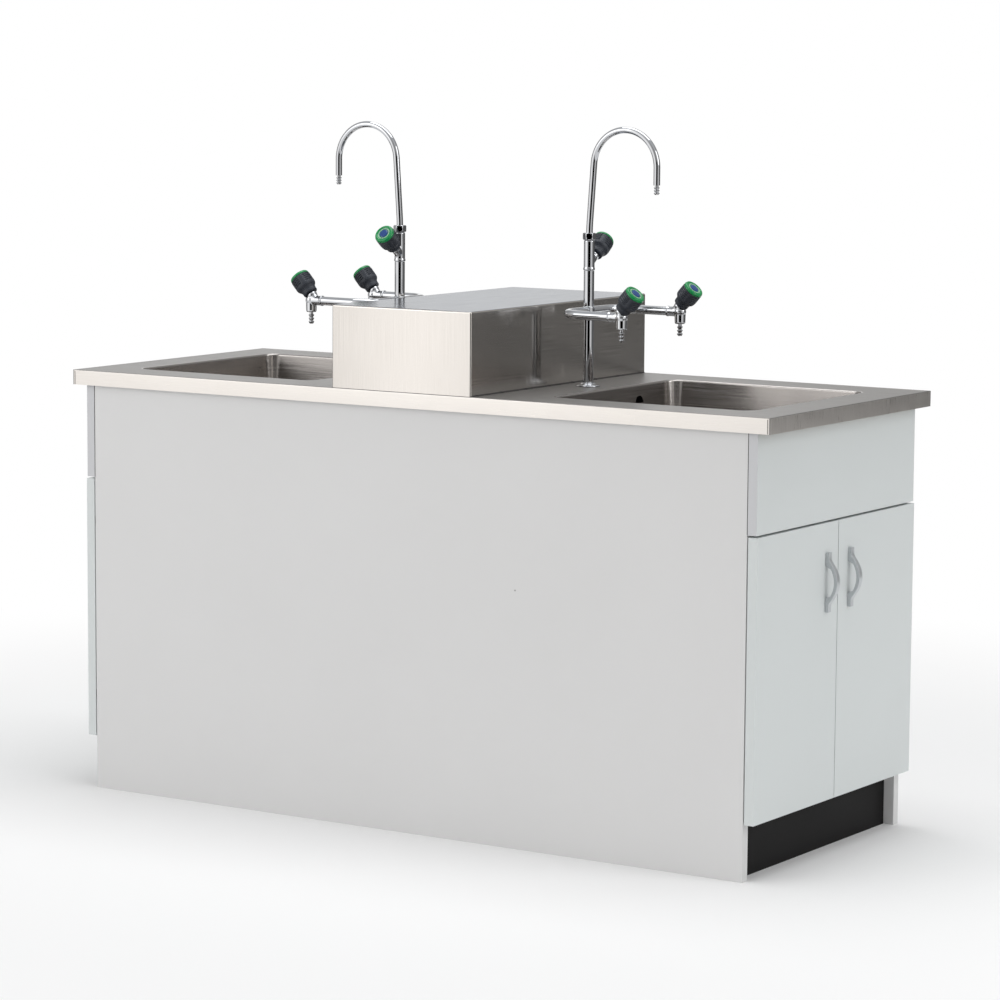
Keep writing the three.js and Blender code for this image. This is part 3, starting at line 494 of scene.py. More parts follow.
dress(panel_melamine, "front_panel", "rear_panel", "cabinet_floor", "centre_partition")
dress(top_steel, "worktop")
dress(raw_core, "worktop_core")
for end in ENDS:
    dress(plinth_laminate, f"{end}_plinth")
    dress(panel_melamine, f"{end}_top_rail")
    dress(door_melamine, f"{end}_fascia")
    dress(plated_steel, f"{end}_waste", f"{end}_tap_lock_nut")
    dress(trap_plastic, f"{end}_trap")
    for side in ("front", "rear"):
        dress(door_melamine, f"{end}_{side}_door")
        dress(plated_steel, f"{end}_{side}_lower_hinge", f"{end}_{side}_upper_hinge")


# Fascia ends: a grey edge band on each end, and a painted shadow line over the joint with the long panel
def end_plate(low, high, proud):
    """A thin plate in the XZ plane: a round-cornered ring between two corners, drawn along Y."""
    half = (np.asarray(high) - np.asarray(low)) / 2
    corner = 0.2
    ring = rounded_ring(half[0], half[2], corner, 2)
    flat = lofted([raised(ring, 0), raised(ring, proud)])
    middle = (np.asarray(low) + np.asarray(high)) / 2
    return placed(flat, turn_about("X", math.pi / 2, middle))


def fascia_ends(end, reach):
    """Thin plates on the two ends of a fascia, from the first to the second `reach` along X from its
    inner face, or to its outer face where the second is None. Each is sunk a little into the board."""
    sunk = 0.05
    margin = 0.2
    low, high = node_box(f"{end}_fascia")
    inner, outer = (low[0], high[0]) if low[0] > 0 else (high[0], low[0])
    away = math.copysign(1, inner)
    x = np.sort([inner + away * reach[0], outer if reach[1] is None else inner + away * reach[1]])
    parts = []
    for y in (low[1] + sunk, high[1] + BAND_PROUD - sunk):
        parts.append(end_plate((x[0], y, low[2] + margin), (x[1], y, high[2] - margin), BAND_PROUD))
    return joined(*parts)


for end in ENDS:
    bands = fascia_ends(end, (BAND_SETBACK, None))
    piece(f"{end}_fascia_edge_bands", bands, band_melamine, "cabinet")
    # A near-black strip over the joint, where the boards meet with no gap: painted shadow
    lines = fascia_ends(end, (-JOINT_HALF, JOINT_HALF))
    piece(f"{end}_fascia_joint_painted_shadow", lines, sealant_and_painted_shadow, "cabinet")


# Worktop edge: a folded band with a soft upper corner, carried round the top
def worktop_edge():
    """A profile of (outward, height) carried round a rounded rectangle: up the edge, over a soft fold,
    a lap inwards on the top, and back inside the sheet."""
    proud = FOLD_PROUD
    fold = 2.5
    lap = 9
    inner = 0.6
    corner = 3
    low = TOP_LOW[2]
    outer = eased([[proud, low], [proud, TOP_FACE + proud], [-lap, TOP_FACE + 0.12]], fold, 6)
    profile = np.vstack([outer, [[-lap, TOP_FACE - inner], [-inner, TOP_FACE - inner], [-inner, low]]])
    half_x, half_y = TOP_HIGH[:2]
    rings = []
    for out, z in profile:
        rings.append(raised(rounded_ring(half_x + out, half_y + out, corner + max(out, -2), 6), z))
    return lofted(rings, looped=True)


def corner_seams():
    """Four upright strips where the long folds meet the end folds: a small rounded ring drawn up Z."""
    half_width = 0.6
    proud = 0.2
    corner = 0.15
    ring = rounded_ring(half_width, proud, corner, 2)
    strip = lofted([raised(ring, z) for z in (TOP_LOW[2] + 0.5, TOP_FACE - 2.5)])
    half_x, half_y = TOP_HIGH[:2]
    strips = []
    for x in (SEAM_SETBACK - half_x, half_x - SEAM_SETBACK):
        strips += [placed(strip, shift_by((x, y, 0))) for y in (-half_y - proud, half_y + proud)]
    return joined(*strips)


# Upright faces of the band take the pale edge steel, a painted highlight; faces looking along X take the
# pale end steel, and faces looking up take the darker top steel
band = piece("worktop_folded_edge", worktop_edge(), edge_steel_painted_highlight, "cabinet")
face_finish(band, end_steel_painted_highlight, 0)
face_finish(band, top_steel, 2)
piece("worktop_corner_seams", corner_seams(), sealant_and_painted_shadow, "cabinet")


# Service box: a folded cover whose corners and top edges are rolled over a small radius
def service_box():
    """Rounded rectangles stacked up Z: upright walls, a quarter circle inwards at the top, then the lid."""
    bend = BOX_BEND
    least = 0.2
    half_x, half_y = BOX_HIGH[:2]
    top = BOX_HIGH[2]
    turn = np.linspace(0, np.pi / 2, 6)
    inset = np.concatenate([[0, 0], bend * (1 - np.cos(turn)), [bend + 2]])
    height = np.concatenate([[BOX_LOW[2], top - bend - 1], top - bend + bend * np.sin(turn), [top]])
    rings = []
    for i, z in zip(inset, height):
        rings.append(raised(rounded_ring(half_x - i, half_y - i, max(bend - i, least), 6), z))
    return lofted(rings)


cover = piece("service_box_cover", service_box(), box_steel, "cabinet", ["service_box"])
face_finish(cover, side_steel, 0)
# Faces looking up take the darker lid steel: painted shade
face_finish(cover, lid_steel_painted_shade, 2)


# Sealant along the foot of the service box, with a weld tack every 80 mm
def box_bead():
    """A small sloping profile of (outward, height) carried round the foot, with domes turned about Z
    along both long sides."""
    half_x, half_y = BOX_HIGH[:2]
    end_setback = 2
    corner = 3.2
    tack_out = 1
    base = BOX_LOW[2] - 0.2
    profile = [[2.2, base], [1.4, base + 1.4], [-0.4, base + 2.6], [-0.4, base]]
    rings = []
    for out, z in profile:
        rings.append(raised(rounded_ring(half_x + out, half_y - end_setback + out, corner + out, 6), z))
    parts = [lofted(rings, looped=True)]
    dome = turned(eased([[3.2, 0], [2.6, 2.2], [0.2, 2.8]], 1.2), 16)
    for y in np.arange(-TACK_REACH, TACK_REACH + 1, TACK_STEP):
        parts += [placed(dome, shift_by((x, y, base))) for x in (-half_x - tack_out, half_x + tack_out)]
    return joined(*parts)


piece("service_box_sealant", box_bead(), sealant_and_painted_shadow, "cabinet")


# Bowls: a rolled rim, leaning walls, a rounded floor edge and a floor that falls to the waste
def bowl_side(offset):
    """Rings of one side of the pressed sheet, `offset` outside the wet side: a quarter circle over the
    rim, a leaning wall, a quarter circle to the floor, then a straight blend to the drain's circle."""
    least_corner = 3
    least_inset = 0.05
    proud = 0.1
    half_x, half_y = (BOWL_HIGH[:2] - BOWL_LOW[:2]) / 2 + SEAT
    rim = RIM_RADIUS - offset
    fillet = FLOOR_FILLET + offset
    floor = TOP_FACE - BOWL_DEPTH
    turn = np.linspace(0, np.pi / 2, 9)
    rim_inset = np.maximum(least_inset, rim * np.sin(turn))
    rim_height = TOP_FACE - offset + proud - rim * (1 - np.cos(turn))
    fillet_inset = RIM_RADIUS + WALL_DRAFT - offset + fillet * (1 - np.cos(turn))
    fillet_height = floor - offset + fillet * (1 - np.sin(turn))
    inset = np.concatenate([rim_inset, fillet_inset])
    height = np.concatenate([rim_height, fillet_height])
    rings = []
    for i, z in zip(inset, height):
        corner = max(CORNER_RADIUS - i, least_corner)
        rings.append(raised(rounded_ring(half_x - i, half_y - i, corner), z))
    count = len(rings[0])
    around = 2 * np.pi * (np.arange(count) + 0.5) / count
    drain = DRAIN_RADIUS * np.column_stack([np.cos(around), np.sin(around)])
    drain = raised(drain, floor - offset - FLOOR_FALL)
    share = np.linspace(0, 1, 7)[1:, None, None]
    return np.concatenate([rings, rings[-1] * (1 - share) + drain * share])


def bowl():
    """The rings of the wet side, then those of the dry side backwards, skinned into one closed sheet."""
    return lofted(np.concatenate([bowl_side(0), bowl_side(SHEET)[::-1]]), looped=True)


def strainer():
    """A waste grid: a dished ring turned about Z, and four round bars crossed over the outlet."""
    ring = turned(eased([[20, 0.4], [37, 0.4], [36, 2.6], [24, 1.2], [20, -1.2]], 1.0), 56, looped=True)
    bar = turned([[1.5, -21], [1.5, 21]], 10)
    level = turn_about("X", math.pi / 2)
    bars = [placed(bar, turn_about("Z", eighth * math.pi / 4) @ level) for eighth in range(4)]
    return joined(ring, *bars)


for end, turn in ENDS.items():
    half_turn = turn_about("Z", turn)
    whole = placed(bowl(), half_turn @ shift_by((BOWL_X, 0, 0)))
    piece(f"{end}_bowl_pressing", whole, bowl_steel, "cabinet", [f"{end}_bowl"])
    # A dark disc on the leaning wall stands for the overflow's opening: painted shade where the hole would
    # be
    wall = BOWL_LOW[0] + RIM_RADIUS + OVERFLOW_LEAN
    facing = turn_about("Y", math.pi / 2, (wall, OVERFLOW_OFFSET, TOP_FACE - OVERFLOW_DROP))
    hole = turned([[OVERFLOW_RADIUS, -0.5], [OVERFLOW_RADIUS - 0.2, 0.6]], 40)
    piece(f"{end}_overflow_hole", placed(hole, half_turn @ facing), dark_hole, "cabinet")
    grid = placed(strainer(), half_turn @ shift_by((BOWL_X, 0, WASTE_FACE)))
    piece(f"{end}_waste_grid", grid, plated_steel, "cabinet")


# Door handles: a bow whose inner and outer lines are two curves, with a round-cornered section
def handle(node):
    """A flat strap along Z: its outside is a parabola that runs out into two feet, its inside follows
    one bar's thickness away and dives to the door at the ends of the window."""
    low, high = node_box(node)
    length = high[2] - low[2]
    reach = high[0] - low[0]
    bar = 7.0
    bow_end = 0.72
    window_end = 0.545
    window_ramp = 0.09
    run_out = 0.012
    share = np.linspace(-1, 1, 161)
    arc = 1 - (share / bow_end) ** 2
    arc = (arc + np.sqrt(arc**2 + run_out)) / 2
    outside = bar + (reach - bar) * arc / arc.max()
    dive = np.clip((window_end - np.abs(share)) / window_ramp, 0, 1)
    inside = (outside - bar) * dive
    half_width = (high[1] - low[1]) / 2
    section = rounded_ring(1, 1, 0.16, 4)
    middle = (outside + inside)[:, None] / 2
    half_depth = (outside - inside)[:, None] / 2
    x = middle + half_depth * section[None, :, 0]
    y = half_width * np.repeat(section[None, :, 1], len(share), axis=0)
    z = np.repeat((share * length / 2)[:, None], len(section), axis=1)
    points, faces = lofted(np.stack([x, y, z], -1))
    centre_y = (low[1] + high[1]) / 2
    centre_z = (low[2] + high[2]) / 2
    if low[0] > 0:
        return points + [low[0] - SEAT, centre_y, centre_z], faces
    return points * [-1, -1, 1] + [high[0] + SEAT, centre_y, centre_z], faces


for end in ENDS:
    for side in ("front", "rear"):
        door = f"{end}_{side}_door"
        bow = handle(f"{door}_handle")
        piece(f"{door}_bow_handle", bow, handle_alloy, door, [f"{door}_handle"])


# Taps
def nozzle(length, barbs=3):
    """The profile of (radius, height) of a barbed hose nozzle that hangs from height 0: up the bore's
    blind end, then each barb swells to its shoulder and steps back."""
    core = 3.4
    barb = 5.2
    bore_depth = 10
    bore_radius = 2.2
    pitch = length / (barbs + 0.5)
    foot = np.arange(barbs)[:, None] * pitch - length
    radius = np.tile([core, barb, barb, core], (barbs, 1))
    height = foot + pitch * np.array([0.02, 0.5, 0.72, 0.86])
    outer = np.column_stack([radius.ravel(), height.ravel()])
    blind = bore_depth - length
    bore = [[0.3, blind], [bore_radius, blind], [bore_radius, -length]]
    return np.vstack([bore, outer, [[core, 0.5]]])


def bonnet(length):
    """Valve bonnet turned about +Z: a cast neck that ends in a wider collar under the knob."""
    neck = 8.6
    collar = 9.6
    outline = [
        [6, -2],
        [neck, 0],
        [neck, length - 7],
        [collar, length - 6],
        [collar, length - 1],
        [4, length],
    ]
    return turned(eased(outline, 1.0))


def cast_body(name, parts, replaced):
    """Several overlapping surfaces cast in one, with small fillets where they meet."""
    made = piece(name, joined(*parts), tap_chrome, "cabinet", replaced, 180)
    remesh = made.modifiers.new("one_skin", "REMESH")
    remesh.mode = "VOXEL"
    remesh.voxel_size = CAST_VOXEL * MM
    remesh.use_smooth_shade = True
    smooth = made.modifiers.new("cast_fillets", "SMOOTH")
    smooth.factor = 0.5
    smooth.iterations = 8


def side_valve_parts():
    """Turned forms that overlap at the valve's middle: a socket for the arm along X, an outlet that
    hangs along Z, a ball at the heart and the leaning bonnet."""
    back = ARM_END - VALVE_REACH + SEAT
    ball = 11
    along_x = turn_about("Y", math.pi / 2)
    ring = [[6, back], [9.8, back], [9.8, back + 3], [9.0, back + 4], [9.4, 0], [6, 3]]
    socket = placed(turned(eased(ring, 0.8)), along_x)
    low = -OUTLET_LENGTH
    outlet = turned(eased([[5.5, low], [9.4, low], [9.8, low + 3], [10.2, -4], [7, 3]], 1.2))
    fall = np.linspace(3.1, 0.04, 24)
    heart = turned(ball * np.column_stack([np.sin(fall), np.cos(fall)]))
    lean = turn_about("Y", math.pi / 2 - SIDE_TILT, (-SIDE_KNOB_SETBACK, 0, 0))
    spindle = placed(bonnet(SIDE_KNOB_FOOT - 0.4), lean)
    return [socket, outlet, heart, spindle]


def swan_valve_parts():
    """Two turned forms: an upright barrel with a wider ring at its foot, and the leaning bonnet."""
    low = COLUMN_TOP
    high = SWAN_VALVE_TOP
    ring = 10.7
    barrel = 9.9
    upright = [
        [7, low],
        [ring, low],
        [ring, low + 4],
        [barrel, low + 5],
        [barrel, high - 2],
        [9.4, high],
        [7, high],
    ]
    tilt = turn_about("X", SWAN_TILT - math.pi / 2, (0, 0, SWAN_KNOB_HEIGHT))
    return [turned(eased(upright, 0.8)), placed(bonnet(SWAN_KNOB_FOOT - 0.4), tilt)]


def swivel_nut():
    """A hexagon nut: the radius is the distance to a flat over the cosine of the turn from its middle,
    and no more than a cone that closes on both ends."""
    facets = 96
    turn = np.linspace(0, 2 * np.pi, facets, endpoint=False)
    flat = NUT_FLAT / np.cos((turn + np.pi / 6) % (np.pi / 3) - np.pi / 6)
    height = np.array([0, 0, 0.7, 1.6, NUT_HEIGHT - 1.6, NUT_HEIGHT - 0.7, NUT_HEIGHT, NUT_HEIGHT])
    limit = np.array([6.4, 10.2, 11.2, 12.2, 12.2, 11.2, 10.2, 6.4])
    radius = np.minimum(flat[None, :], limit[:, None])
    level = np.repeat(height[:, None], facets, axis=1)
    return lofted(np.stack([radius * np.cos(turn), radius * np.sin(turn), level], -1))


def manifold_path():
    """The C of tube: an arm, a quarter bend, the cross piece, a quarter bend and the other arm."""
    middle = ARM_OFFSET - MANIFOLD_BEND
    quarter = np.linspace(0, np.pi / 2, 20)
    arm = np.column_stack([np.linspace(ARM_END, MANIFOLD_BEND, 6), np.full(6, ARM_OFFSET)])
    bend_x = MANIFOLD_BEND * (1 - np.sin(quarter))
    bend_y = middle + MANIFOLD_BEND * np.cos(quarter)
    bend = np.column_stack([bend_x, bend_y])
    cross = np.column_stack([np.zeros(5), np.linspace(middle, 0, 6)[1:]])
    half = np.vstack([arm, bend[1:], cross])
    whole = np.vstack([half, (half * [1, -1])[-2::-1]])
    return raised(whole, 0)


def neck_path():
    """The swan neck in the XZ plane: an upright foot, a leaning riser, a bend and a short drop."""
    centre_z = NECK_TOP - NECK_RADIUS - NECK_BEND
    start_z = centre_z + NECK_BEND * math.sin(NECK_LEAN)
    start_x = (start_z - NECK_KNEE) * math.tan(NECK_LEAN)
    centre_x = start_x + NECK_BEND * math.cos(NECK_LEAN)
    turn = NECK_LEAN + np.linspace(0, NECK_TURN, 72)
    bend = np.column_stack([centre_x - NECK_BEND * np.cos(turn), centre_z + NECK_BEND * np.sin(turn)])
    riser = eased([[0, SWAN_VALVE_TOP - 8], [0, NECK_KNEE], [start_x, start_z]], 14, 6)
    drop = np.column_stack([np.full(4, bend[-1, 0]), bend[-1, 1] - np.linspace(0, NECK_DROP, 5)[1:]])
    line = np.vstack([riser[:-1], bend, drop])
    return np.column_stack([line[:, 0], np.zeros(len(line)), line[:, 1]])


def knob_body():
    """A knob about Z: a narrow foot that flares to a barrel, with grip rings cut in four patches and
    a slight flat between them. Radius is a function of height and turn."""
    facets = 144
    turn = np.linspace(0, 2 * np.pi, facets, endpoint=False)[None, :]
    outline = [
        [8, 0],
        [KNOB_FOOT_RADIUS, 0],
        [14.1, 8],
        [15.4, 11],
        [18.8, 15],
        [KNOB_RADIUS, 19],
        [KNOB_RADIUS, 36.6],
        [18.6, 38],
    ]
    outline = eased(outline, 2.4, 6)
    lower = outline[outline[:, 1] < GRIP_FOOT]
    upper_height = np.linspace(GRIP_FOOT, 37.5, 84)
    upper = np.column_stack([np.interp(upper_height, outline[:, 1], outline[:, 0]), upper_height])
    profile = np.vstack([lower, upper, [[17.5, KNOB_TOP], [6, KNOB_TOP]]])
    height = profile[:, 1:]
    rings = 0.5 - 0.5 * np.cos(2 * np.pi * (height - GRIP_LOW) / GRIP_PITCH)
    band = np.clip(height - GRIP_LOW, 0, 1) * np.clip(GRIP_HIGH - height, 0, 1)
    patch = np.clip(2.4 * np.cos(4 * turn + 0.6) + 1.4, 0, 1)
    flat = FLAT_DEPTH * np.clip((height - 12) / 6, 0, 1) * (0.5 - 0.5 * np.cos(8 * turn + 1.2))
    radius = profile[:, :1] - flat - GRIP_DEPTH * rings * band * patch
    level = np.repeat(height, facets, axis=1)
    return lofted(np.stack([radius * np.cos(turn), radius * np.sin(turn), level], -1))


def knob_cap():
    """The coloured cap, a profile turned about Z: a rolled green rim with a shallow well."""
    outline = [[12, 38.0], [18.9, 38.0], [19.1, 40], [17.6, 43.2], [14.2, 44], [12.0, 42.6], [6, 42.4]]
    return turned(eased(outline, 1.3, 5), 72)


def cap_ring():
    """A pale ring in the cap's well: a small closed profile turned about Z."""
    outline = [[9.6, 42.2], [12.0, 42.2], [11.8, 43.2], [9.9, 43.2], [9.6, 42.6]]
    return turned(eased(outline, 0.4), 64, looped=True)


def cap_button():
    """The blue button at the cap's middle: a low crowned profile turned about Z."""
    outline = [[4, 42.0], [8.5, 42.0], [8.4, 43.4], [6, 44.0], [0.4, 44.1]]
    return turned(eased(outline, 0.8, 5), 56)


def make_knob(name, matrix):
    """The four pieces of one knob, which ride on the body of its name."""
    piece(f"{name}_grip", placed(knob_body(), matrix), knob_plastic, name, [name], 60)
    piece(f"{name}_green_cap", placed(knob_cap(), matrix), green_plastic, name)
    piece(f"{name}_pale_ring", placed(cap_ring(), matrix), pale_plastic, name)
    piece(f"{name}_blue_button", placed(cap_button(), matrix), blue_plastic, name)


def base_flange():
    """A dished washer round the column's foot: a closed profile turned about Z."""
    bore = 9.9
    outline = [
        [bore, 0.4],
        [FLANGE_RADIUS, 0.4],
        [FLANGE_RADIUS, 2.2],
        [20.5, 3.2],
        [14, 4.6],
        [12.6, FLANGE_HEIGHT],
        [bore, FLANGE_HEIGHT],
    ]
    return turned(eased(outline, 0.9), 72, looped=True)


def column():
    """The upright tube and its thinner shank below the worktop: a profile turned about Z."""
    outline = [
        [4, -SHANK_LENGTH],
        [SHANK_RADIUS, -SHANK_LENGTH],
        [SHANK_RADIUS, 0.4],
        [COLUMN_RADIUS, 0.6],
        [COLUMN_RADIUS, COLUMN_TOP - 0.4],
        [4, COLUMN_TOP - 0.3],
    ]
    return turned(eased(outline, 0.4))


def make_tap(end, turn):
    """One tap, built about its column's axis from the worktop face and turned to its end of the unit."""
    name = f"{end}_tap"
    stand = turn_about("Z", turn) @ shift_by((TAP_X, 0, TOP_FACE))

    def fixed(label, part, nodes):
        """A chromed piece of this tap that doesn't move."""
        piece(f"{name}_{label}", placed(part, stand), tap_chrome, "cabinet", nodes)

    fixed("flange_turning", base_flange(), [f"{name}_base_flange"])
    fixed("column_tube", column(), [f"{name}_column"])
    level = turn_about("Z", MANIFOLD_TURN, (0, 0, MANIFOLD_HEIGHT))
    tube = swept(manifold_path(), MANIFOLD_RADIUS, (0, 0, 1), 40)
    fixed("manifold_tube", placed(tube, level), [f"{name}_manifold"])
    collar = turned(eased([[9.6, -9], [11.2, -8], [11.2, 8], [9.6, 9]], 1.2))
    fixed("manifold_collar", placed(collar, level), [])
    nut = placed(swivel_nut(), shift_by((0, 0, SWAN_VALVE_TOP + SEAT)))
    fixed("swivel_hexagon", nut, [f"{name}_swivel_nut"])
    swan_parts = [placed(part, stand) for part in swan_valve_parts()]
    cast_body(f"{name}_swan_valve_casting", swan_parts, [f"{name}_swan_valve"])

    for side, hand in (("front", -1), ("rear", 1)):
        # Turned round, the front valve is on the other arm
        local = -hand if turn else hand
        valve = stand @ level @ shift_by((VALVE_REACH, local * ARM_OFFSET, 0))
        parts = [placed(part, valve) for part in side_valve_parts()]
        cast_body(f"{name}_{side}_valve_casting", parts, [f"{name}_{side}_valve"])
        spout = placed(turned(nozzle(NOZZLE_LENGTH)), valve @ shift_by((0, 0, -OUTLET_LENGTH)))
        piece(f"{name}_{side}_hose_nozzle", spout, tap_chrome, "cabinet")
        spindle = valve @ turn_about("Y", math.pi / 2 - SIDE_TILT, (-SIDE_KNOB_SETBACK, 0, 0))
        make_knob(f"{name}_{side}_knob", spindle @ shift_by((0, 0, SIDE_KNOB_FOOT)))

    swan = stand @ turn_about("X", SWAN_TILT - math.pi / 2, (0, 0, SWAN_KNOB_HEIGHT))
    make_knob(f"{name}_swan_knob", swan @ shift_by((0, 0, SWAN_KNOB_FOOT)))

    path = neck_path()
    tube = swept(path, NECK_RADIUS, (0, 1, 0), 40)
    tip = placed(turned(nozzle(NECK_TIP)), shift_by(path[-1]))
    body = f"{name}_swan_neck"
    piece(f"{name}_neck_tube", placed(joined(tube, tip), stand), tap_chrome, body, [body])


for end, turn in ENDS.items():
    make_tap(end, turn)


# Studio: a pale floor that fades to white, a white background and soft lamps
def seen_and_mirrored(tree):
    """Two values: 1 for rays from the camera, and 1 for rays that metal or glass sends on."""
    path = add_node(tree, "ShaderNodeLightPath").outputs
    bounced = add_node(
        tree, "ShaderNodeMath", {0: path["Is Glossy Ray"], 1: path["Is Transmission Ray"]}, operation="ADD"
    )
    return path["Is Camera Ray"], bounced.outputs[0]


def make_floor():
    """A disc of one face. Near the unit it is a lit pale grey that takes the shadow, and it fades with
    distance to a plain white, for what the camera sees and what metal mirrors."""
    radius = 4.5
    facets = 96
    fade_from = 1.0
    fade_full = 2.6
    grey = (0.9, 0.9, 0.9, 1)
    mesh = bpy.data.meshes.new("floor")
    around = np.linspace(0, 2 * np.pi, facets, endpoint=False)
    rim = np.column_stack([radius * np.cos(around), radius * np.sin(around), np.zeros(facets)])
    mesh.from_pydata(rim.tolist(), [], [list(range(facets))])
    floor = bpy.data.objects.new("floor", mesh)
    bpy.context.collection.objects.link(floor)
    material = bpy.data.materials.new("pale_floor")
    material.use_nodes = True
    tree = material.node_tree
    tree.nodes.clear()
    where = add_node(tree, "ShaderNodeTexCoord").outputs["Object"]
    distance = add_node(tree, "ShaderNodeVectorMath", {0: where}, operation="LENGTH").outputs["Value"]
    fade = add_node(
        tree,
        "ShaderNodeMapRange",
        {"Value": distance, "From Min": fade_from, "From Max": fade_full},
        interpolation_type="SMOOTHSTEP",
    )
    camera_ray, bounced = seen_and_mirrored(tree)
    seen = add_node(tree, "ShaderNodeMath", {0: camera_ray, 1: bounced}, operation="ADD", use_clamp=True)
    shown = add_node(tree, "ShaderNodeMath", {0: fade.outputs[0], 1: seen.outputs[0]}, operation="MULTIPLY")
    lit = add_node(tree, "ShaderNodeBsdfDiffuse", {"Color": grey})
    white = add_node(tree, "ShaderNodeEmission", {"Color": (1, 1, 1, 1), "Strength": 1.0})
    mixed = add_node(
        tree, "ShaderNodeMixShader", {"Fac": shown.outputs[0], 1: lit.outputs[0], 2: white.outputs[0]}
    )
    add_node(tree, "ShaderNodeOutputMaterial", {"Surface": mixed.outputs[0]})
    mesh.materials.append(material)


# Brightness of the studio round the horizon: turn from -X through -Y, +X and +Y, and grey level.
# A bright card stands to the front left, and dark corners stand right and left of the backdrop.
STUDIO = [
    (0.00, 0.50),
    (0.08, 0.85),
    (0.16, 1.62),
    (0.24, 0.80),
    (0.29, 0.38),
    (0.40, 0.40),
    (0.42, 0.95),
    (0.47, 0.95),
    (0.53, 0.50),
    (0.58, 0.15),
    (0.74, 0.12),
    (0.79, 0.30),
    (0.82, 0.62),
    (0.865, 0.62),
    (0.88, 0.06),
    (0.965, 0.06),
    (0.98, 0.50),
]
# A grey level's shares of red, green and blue, a little warm
WARMTH = (1.0, 0.985, 0.97)
# Dark parts of the studio give way to this level between two heights, as the sine of the elevation
SOFT_LEVEL = (0.38, 0.376, 0.372)
SOFT_FROM = 0.08
SOFT_FULL = 0.22
# All of it gives way to one soft top between two greater heights
TOP_LEVEL = (0.62, 0.63, 0.64, 1)
TOP_FROM = 0.4
TOP_FULL = 0.85
# A low black flag round the camera, which only metal and glass mirror: its middle and half its width
FLAG = 0.342
FLAG_HALF = 0.075
# The white backdrop behind the unit, on the same scale: its middle and half its width
BACKDROP = 0.853
BACKDROP_HALF = 0.024


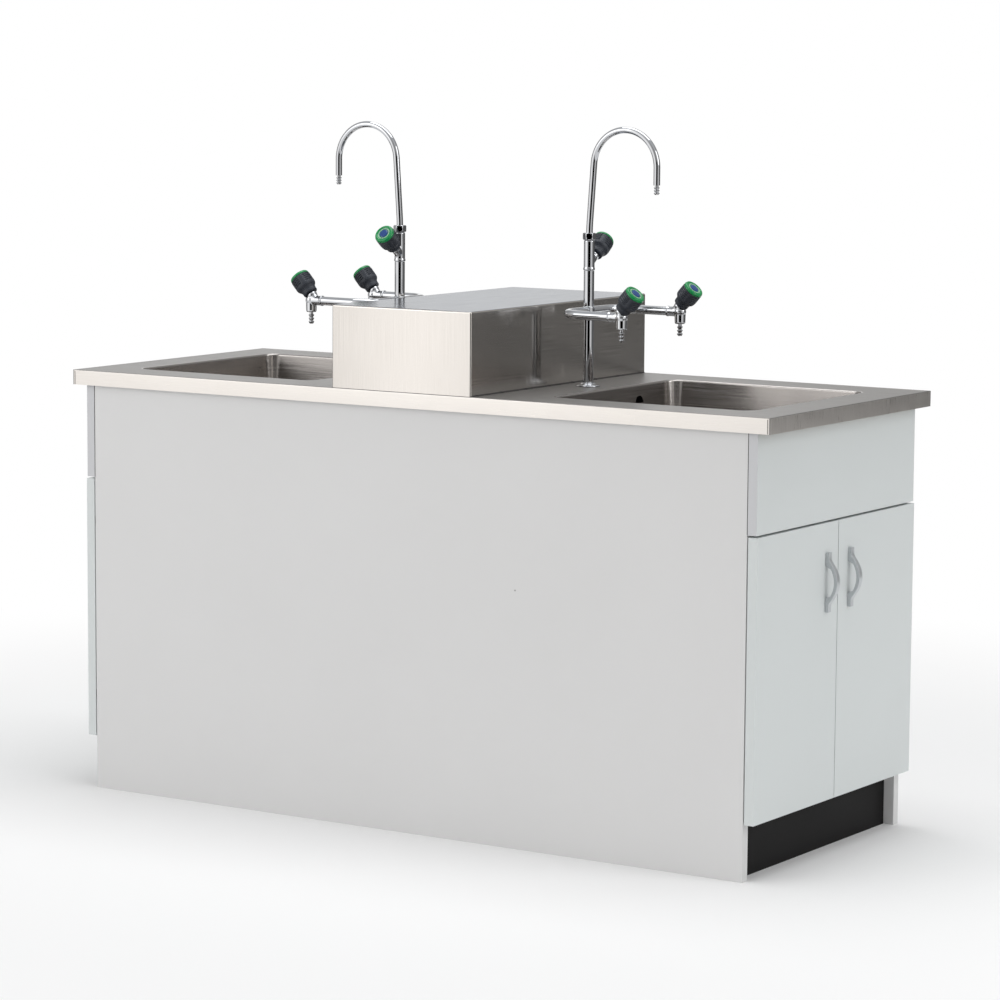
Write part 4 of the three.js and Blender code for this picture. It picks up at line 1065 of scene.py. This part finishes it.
def make_world():
    """White to the camera, and to metal and glass where they mirror the backdrop. The rest is a studio
    that changes round the horizon under a soft top."""
    world = bpy.data.worlds.new("studio")
    bpy.context.scene.world = world
    world.use_nodes = True
    tree = world.node_tree
    tree.nodes.clear()
    where = add_node(tree, "ShaderNodeTexCoord").outputs["Generated"]
    axes = add_node(tree, "ShaderNodeSeparateXYZ", {"Vector": where})
    level = {0: axes.outputs["Y"], 1: axes.outputs["X"]}
    turn = add_node(tree, "ShaderNodeMath", level, operation="ARCTAN2")
    share = add_node(
        tree, "ShaderNodeMapRange", {"Value": turn.outputs[0], "From Min": -math.pi, "From Max": math.pi}
    )
    ring = add_node(tree, "ShaderNodeValToRGB", {"Fac": share.outputs[0]})
    stops = ring.color_ramp.elements
    stops[0].position = STUDIO[0][0]
    stops[1].position = 1.0
    for position, _ in STUDIO[1:]:
        stops.new(position)
    for stop, (_, level) in zip(stops, [*STUDIO, STUDIO[0]]):
        stop.color = (*(part * level for part in WARMTH), 1)
    height = add_node(
        tree,
        "ShaderNodeMapRange",
        {"Value": axes.outputs["Z"], "From Min": TOP_FROM, "From Max": TOP_FULL},
        interpolation_type="SMOOTHSTEP",
    )
    soften = {"Value": axes.outputs["Z"], "From Min": SOFT_FROM, "From Max": SOFT_FULL}
    above = add_node(tree, "ShaderNodeMapRange", soften)
    soft = add_node(tree, "ShaderNodeVectorMath", {0: ring.outputs[0], 1: SOFT_LEVEL}, operation="MAXIMUM")
    sides = add_node(
        tree,
        "ShaderNodeMix",
        {"Factor": above.outputs[0], "A": ring.outputs[0], "B": soft.outputs[0]},
        data_type="RGBA",
    )
    shade = add_node(
        tree,
        "ShaderNodeMix",
        {"Factor": height.outputs[0], "A": sides.outputs["Result"], "B": TOP_LEVEL},
        data_type="RGBA",
    )
    white = add_node(tree, "ShaderNodeBackground", {"Color": (1, 1, 1, 1), "Strength": 1.0})
    camera_ray, bounced = seen_and_mirrored(tree)
    near_flag = {0: share.outputs[0], 1: FLAG, 2: FLAG_HALF}
    flag = add_node(tree, "ShaderNodeMath", near_flag, operation="COMPARE")
    near_backdrop = {0: share.outputs[0], 1: BACKDROP, 2: BACKDROP_HALF}
    behind = add_node(tree, "ShaderNodeMath", near_backdrop, operation="COMPARE")
    below = {0: flag.outputs[0], 1: above.outputs[0]}
    low_flag = add_node(tree, "ShaderNodeMath", below, operation="SUBTRACT", use_clamp=True)
    blocked = add_node(tree, "ShaderNodeMath", {0: bounced, 1: low_flag.outputs[0]}, operation="MULTIPLY")
    light = add_node(tree, "ShaderNodeMath", {0: 1.0, 1: blocked.outputs[0]}, operation="SUBTRACT")
    studio = {"Color": shade.outputs["Result"], "Strength": light.outputs[0]}
    dome = add_node(tree, "ShaderNodeBackground", studio)
    mirrored = add_node(tree, "ShaderNodeMath", {0: bounced, 1: behind.outputs[0]}, operation="MULTIPLY")
    shown = add_node(
        tree, "ShaderNodeMath", {0: camera_ray, 1: mirrored.outputs[0]}, operation="ADD", use_clamp=True
    )
    both = {"Fac": shown.outputs[0], 1: dome.outputs[0], 2: white.outputs[0]}
    mixed = add_node(tree, "ShaderNodeMixShader", both)
    add_node(tree, "ShaderNodeOutputWorld", {"Surface": mixed.outputs[0]})


def make_lamp(name, place, target, size, power):
    """A rectangular area lamp that looks at a target, in metres and watts."""
    data = bpy.data.lights.new(name, "AREA")
    data.shape = "RECTANGLE"
    data.size, data.size_y = size
    data.energy = power
    lamp = bpy.data.objects.new(name, data)
    lamp.location = place
    towards = Matrix.Translation(target).translation - Matrix.Translation(place).translation
    lamp.rotation_euler = towards.to_track_quat("-Z", "Y").to_euler()
    bpy.context.collection.objects.link(lamp)


def make_camera():
    """The photograph's view, fitted to its corner points: place in metres, azimuth, elevation, roll and
    focal length. The camera looks against `back`, which points from the unit to it."""
    azimuth = math.radians(32.968)
    elevation = math.radians(7.196)
    roll = math.radians(0.375)
    focal_pixels = 3667.1
    frame_pixels = 1000
    sensor = 36.0
    place = (3.6877, -5.6563, 1.4288)
    back = np.array(
        [
            math.sin(azimuth) * math.cos(elevation),
            -math.cos(azimuth) * math.cos(elevation),
            math.sin(elevation),
        ]
    )
    right = np.array([math.cos(azimuth), math.sin(azimuth), 0])
    up = np.cross(back, right)
    matrix = np.eye(4)
    matrix[:3, 0] = math.cos(roll) * right + math.sin(roll) * up
    matrix[:3, 1] = math.cos(roll) * up - math.sin(roll) * right
    matrix[:3, 2] = back
    matrix[:3, 3] = place
    data = bpy.data.cameras.new("camera")
    data.sensor_width = sensor
    data.lens = focal_pixels * sensor / frame_pixels
    data.clip_end = 60
    camera = bpy.data.objects.new("camera", data)
    camera.matrix_world = Matrix(matrix.tolist())
    bpy.context.collection.objects.link(camera)
    bpy.context.scene.camera = camera


make_floor()
make_world()
make_lamp("front_softbox", (-2.2, -2.6, 2.2), (0, 0, 0.6), (2.0, 1.6), 12)
make_lamp("right_softbox", (4.2, 0.6, 2.6), (0.4, 0, 0.5), (1.6, 2.4), 36)
make_lamp("overhead_softbox", (0, 0.3, 4.2), (0, 0, 0.8), (3.6, 2.4), 70)
make_camera()
bpy.context.scene.view_settings.view_transform = "Standard"
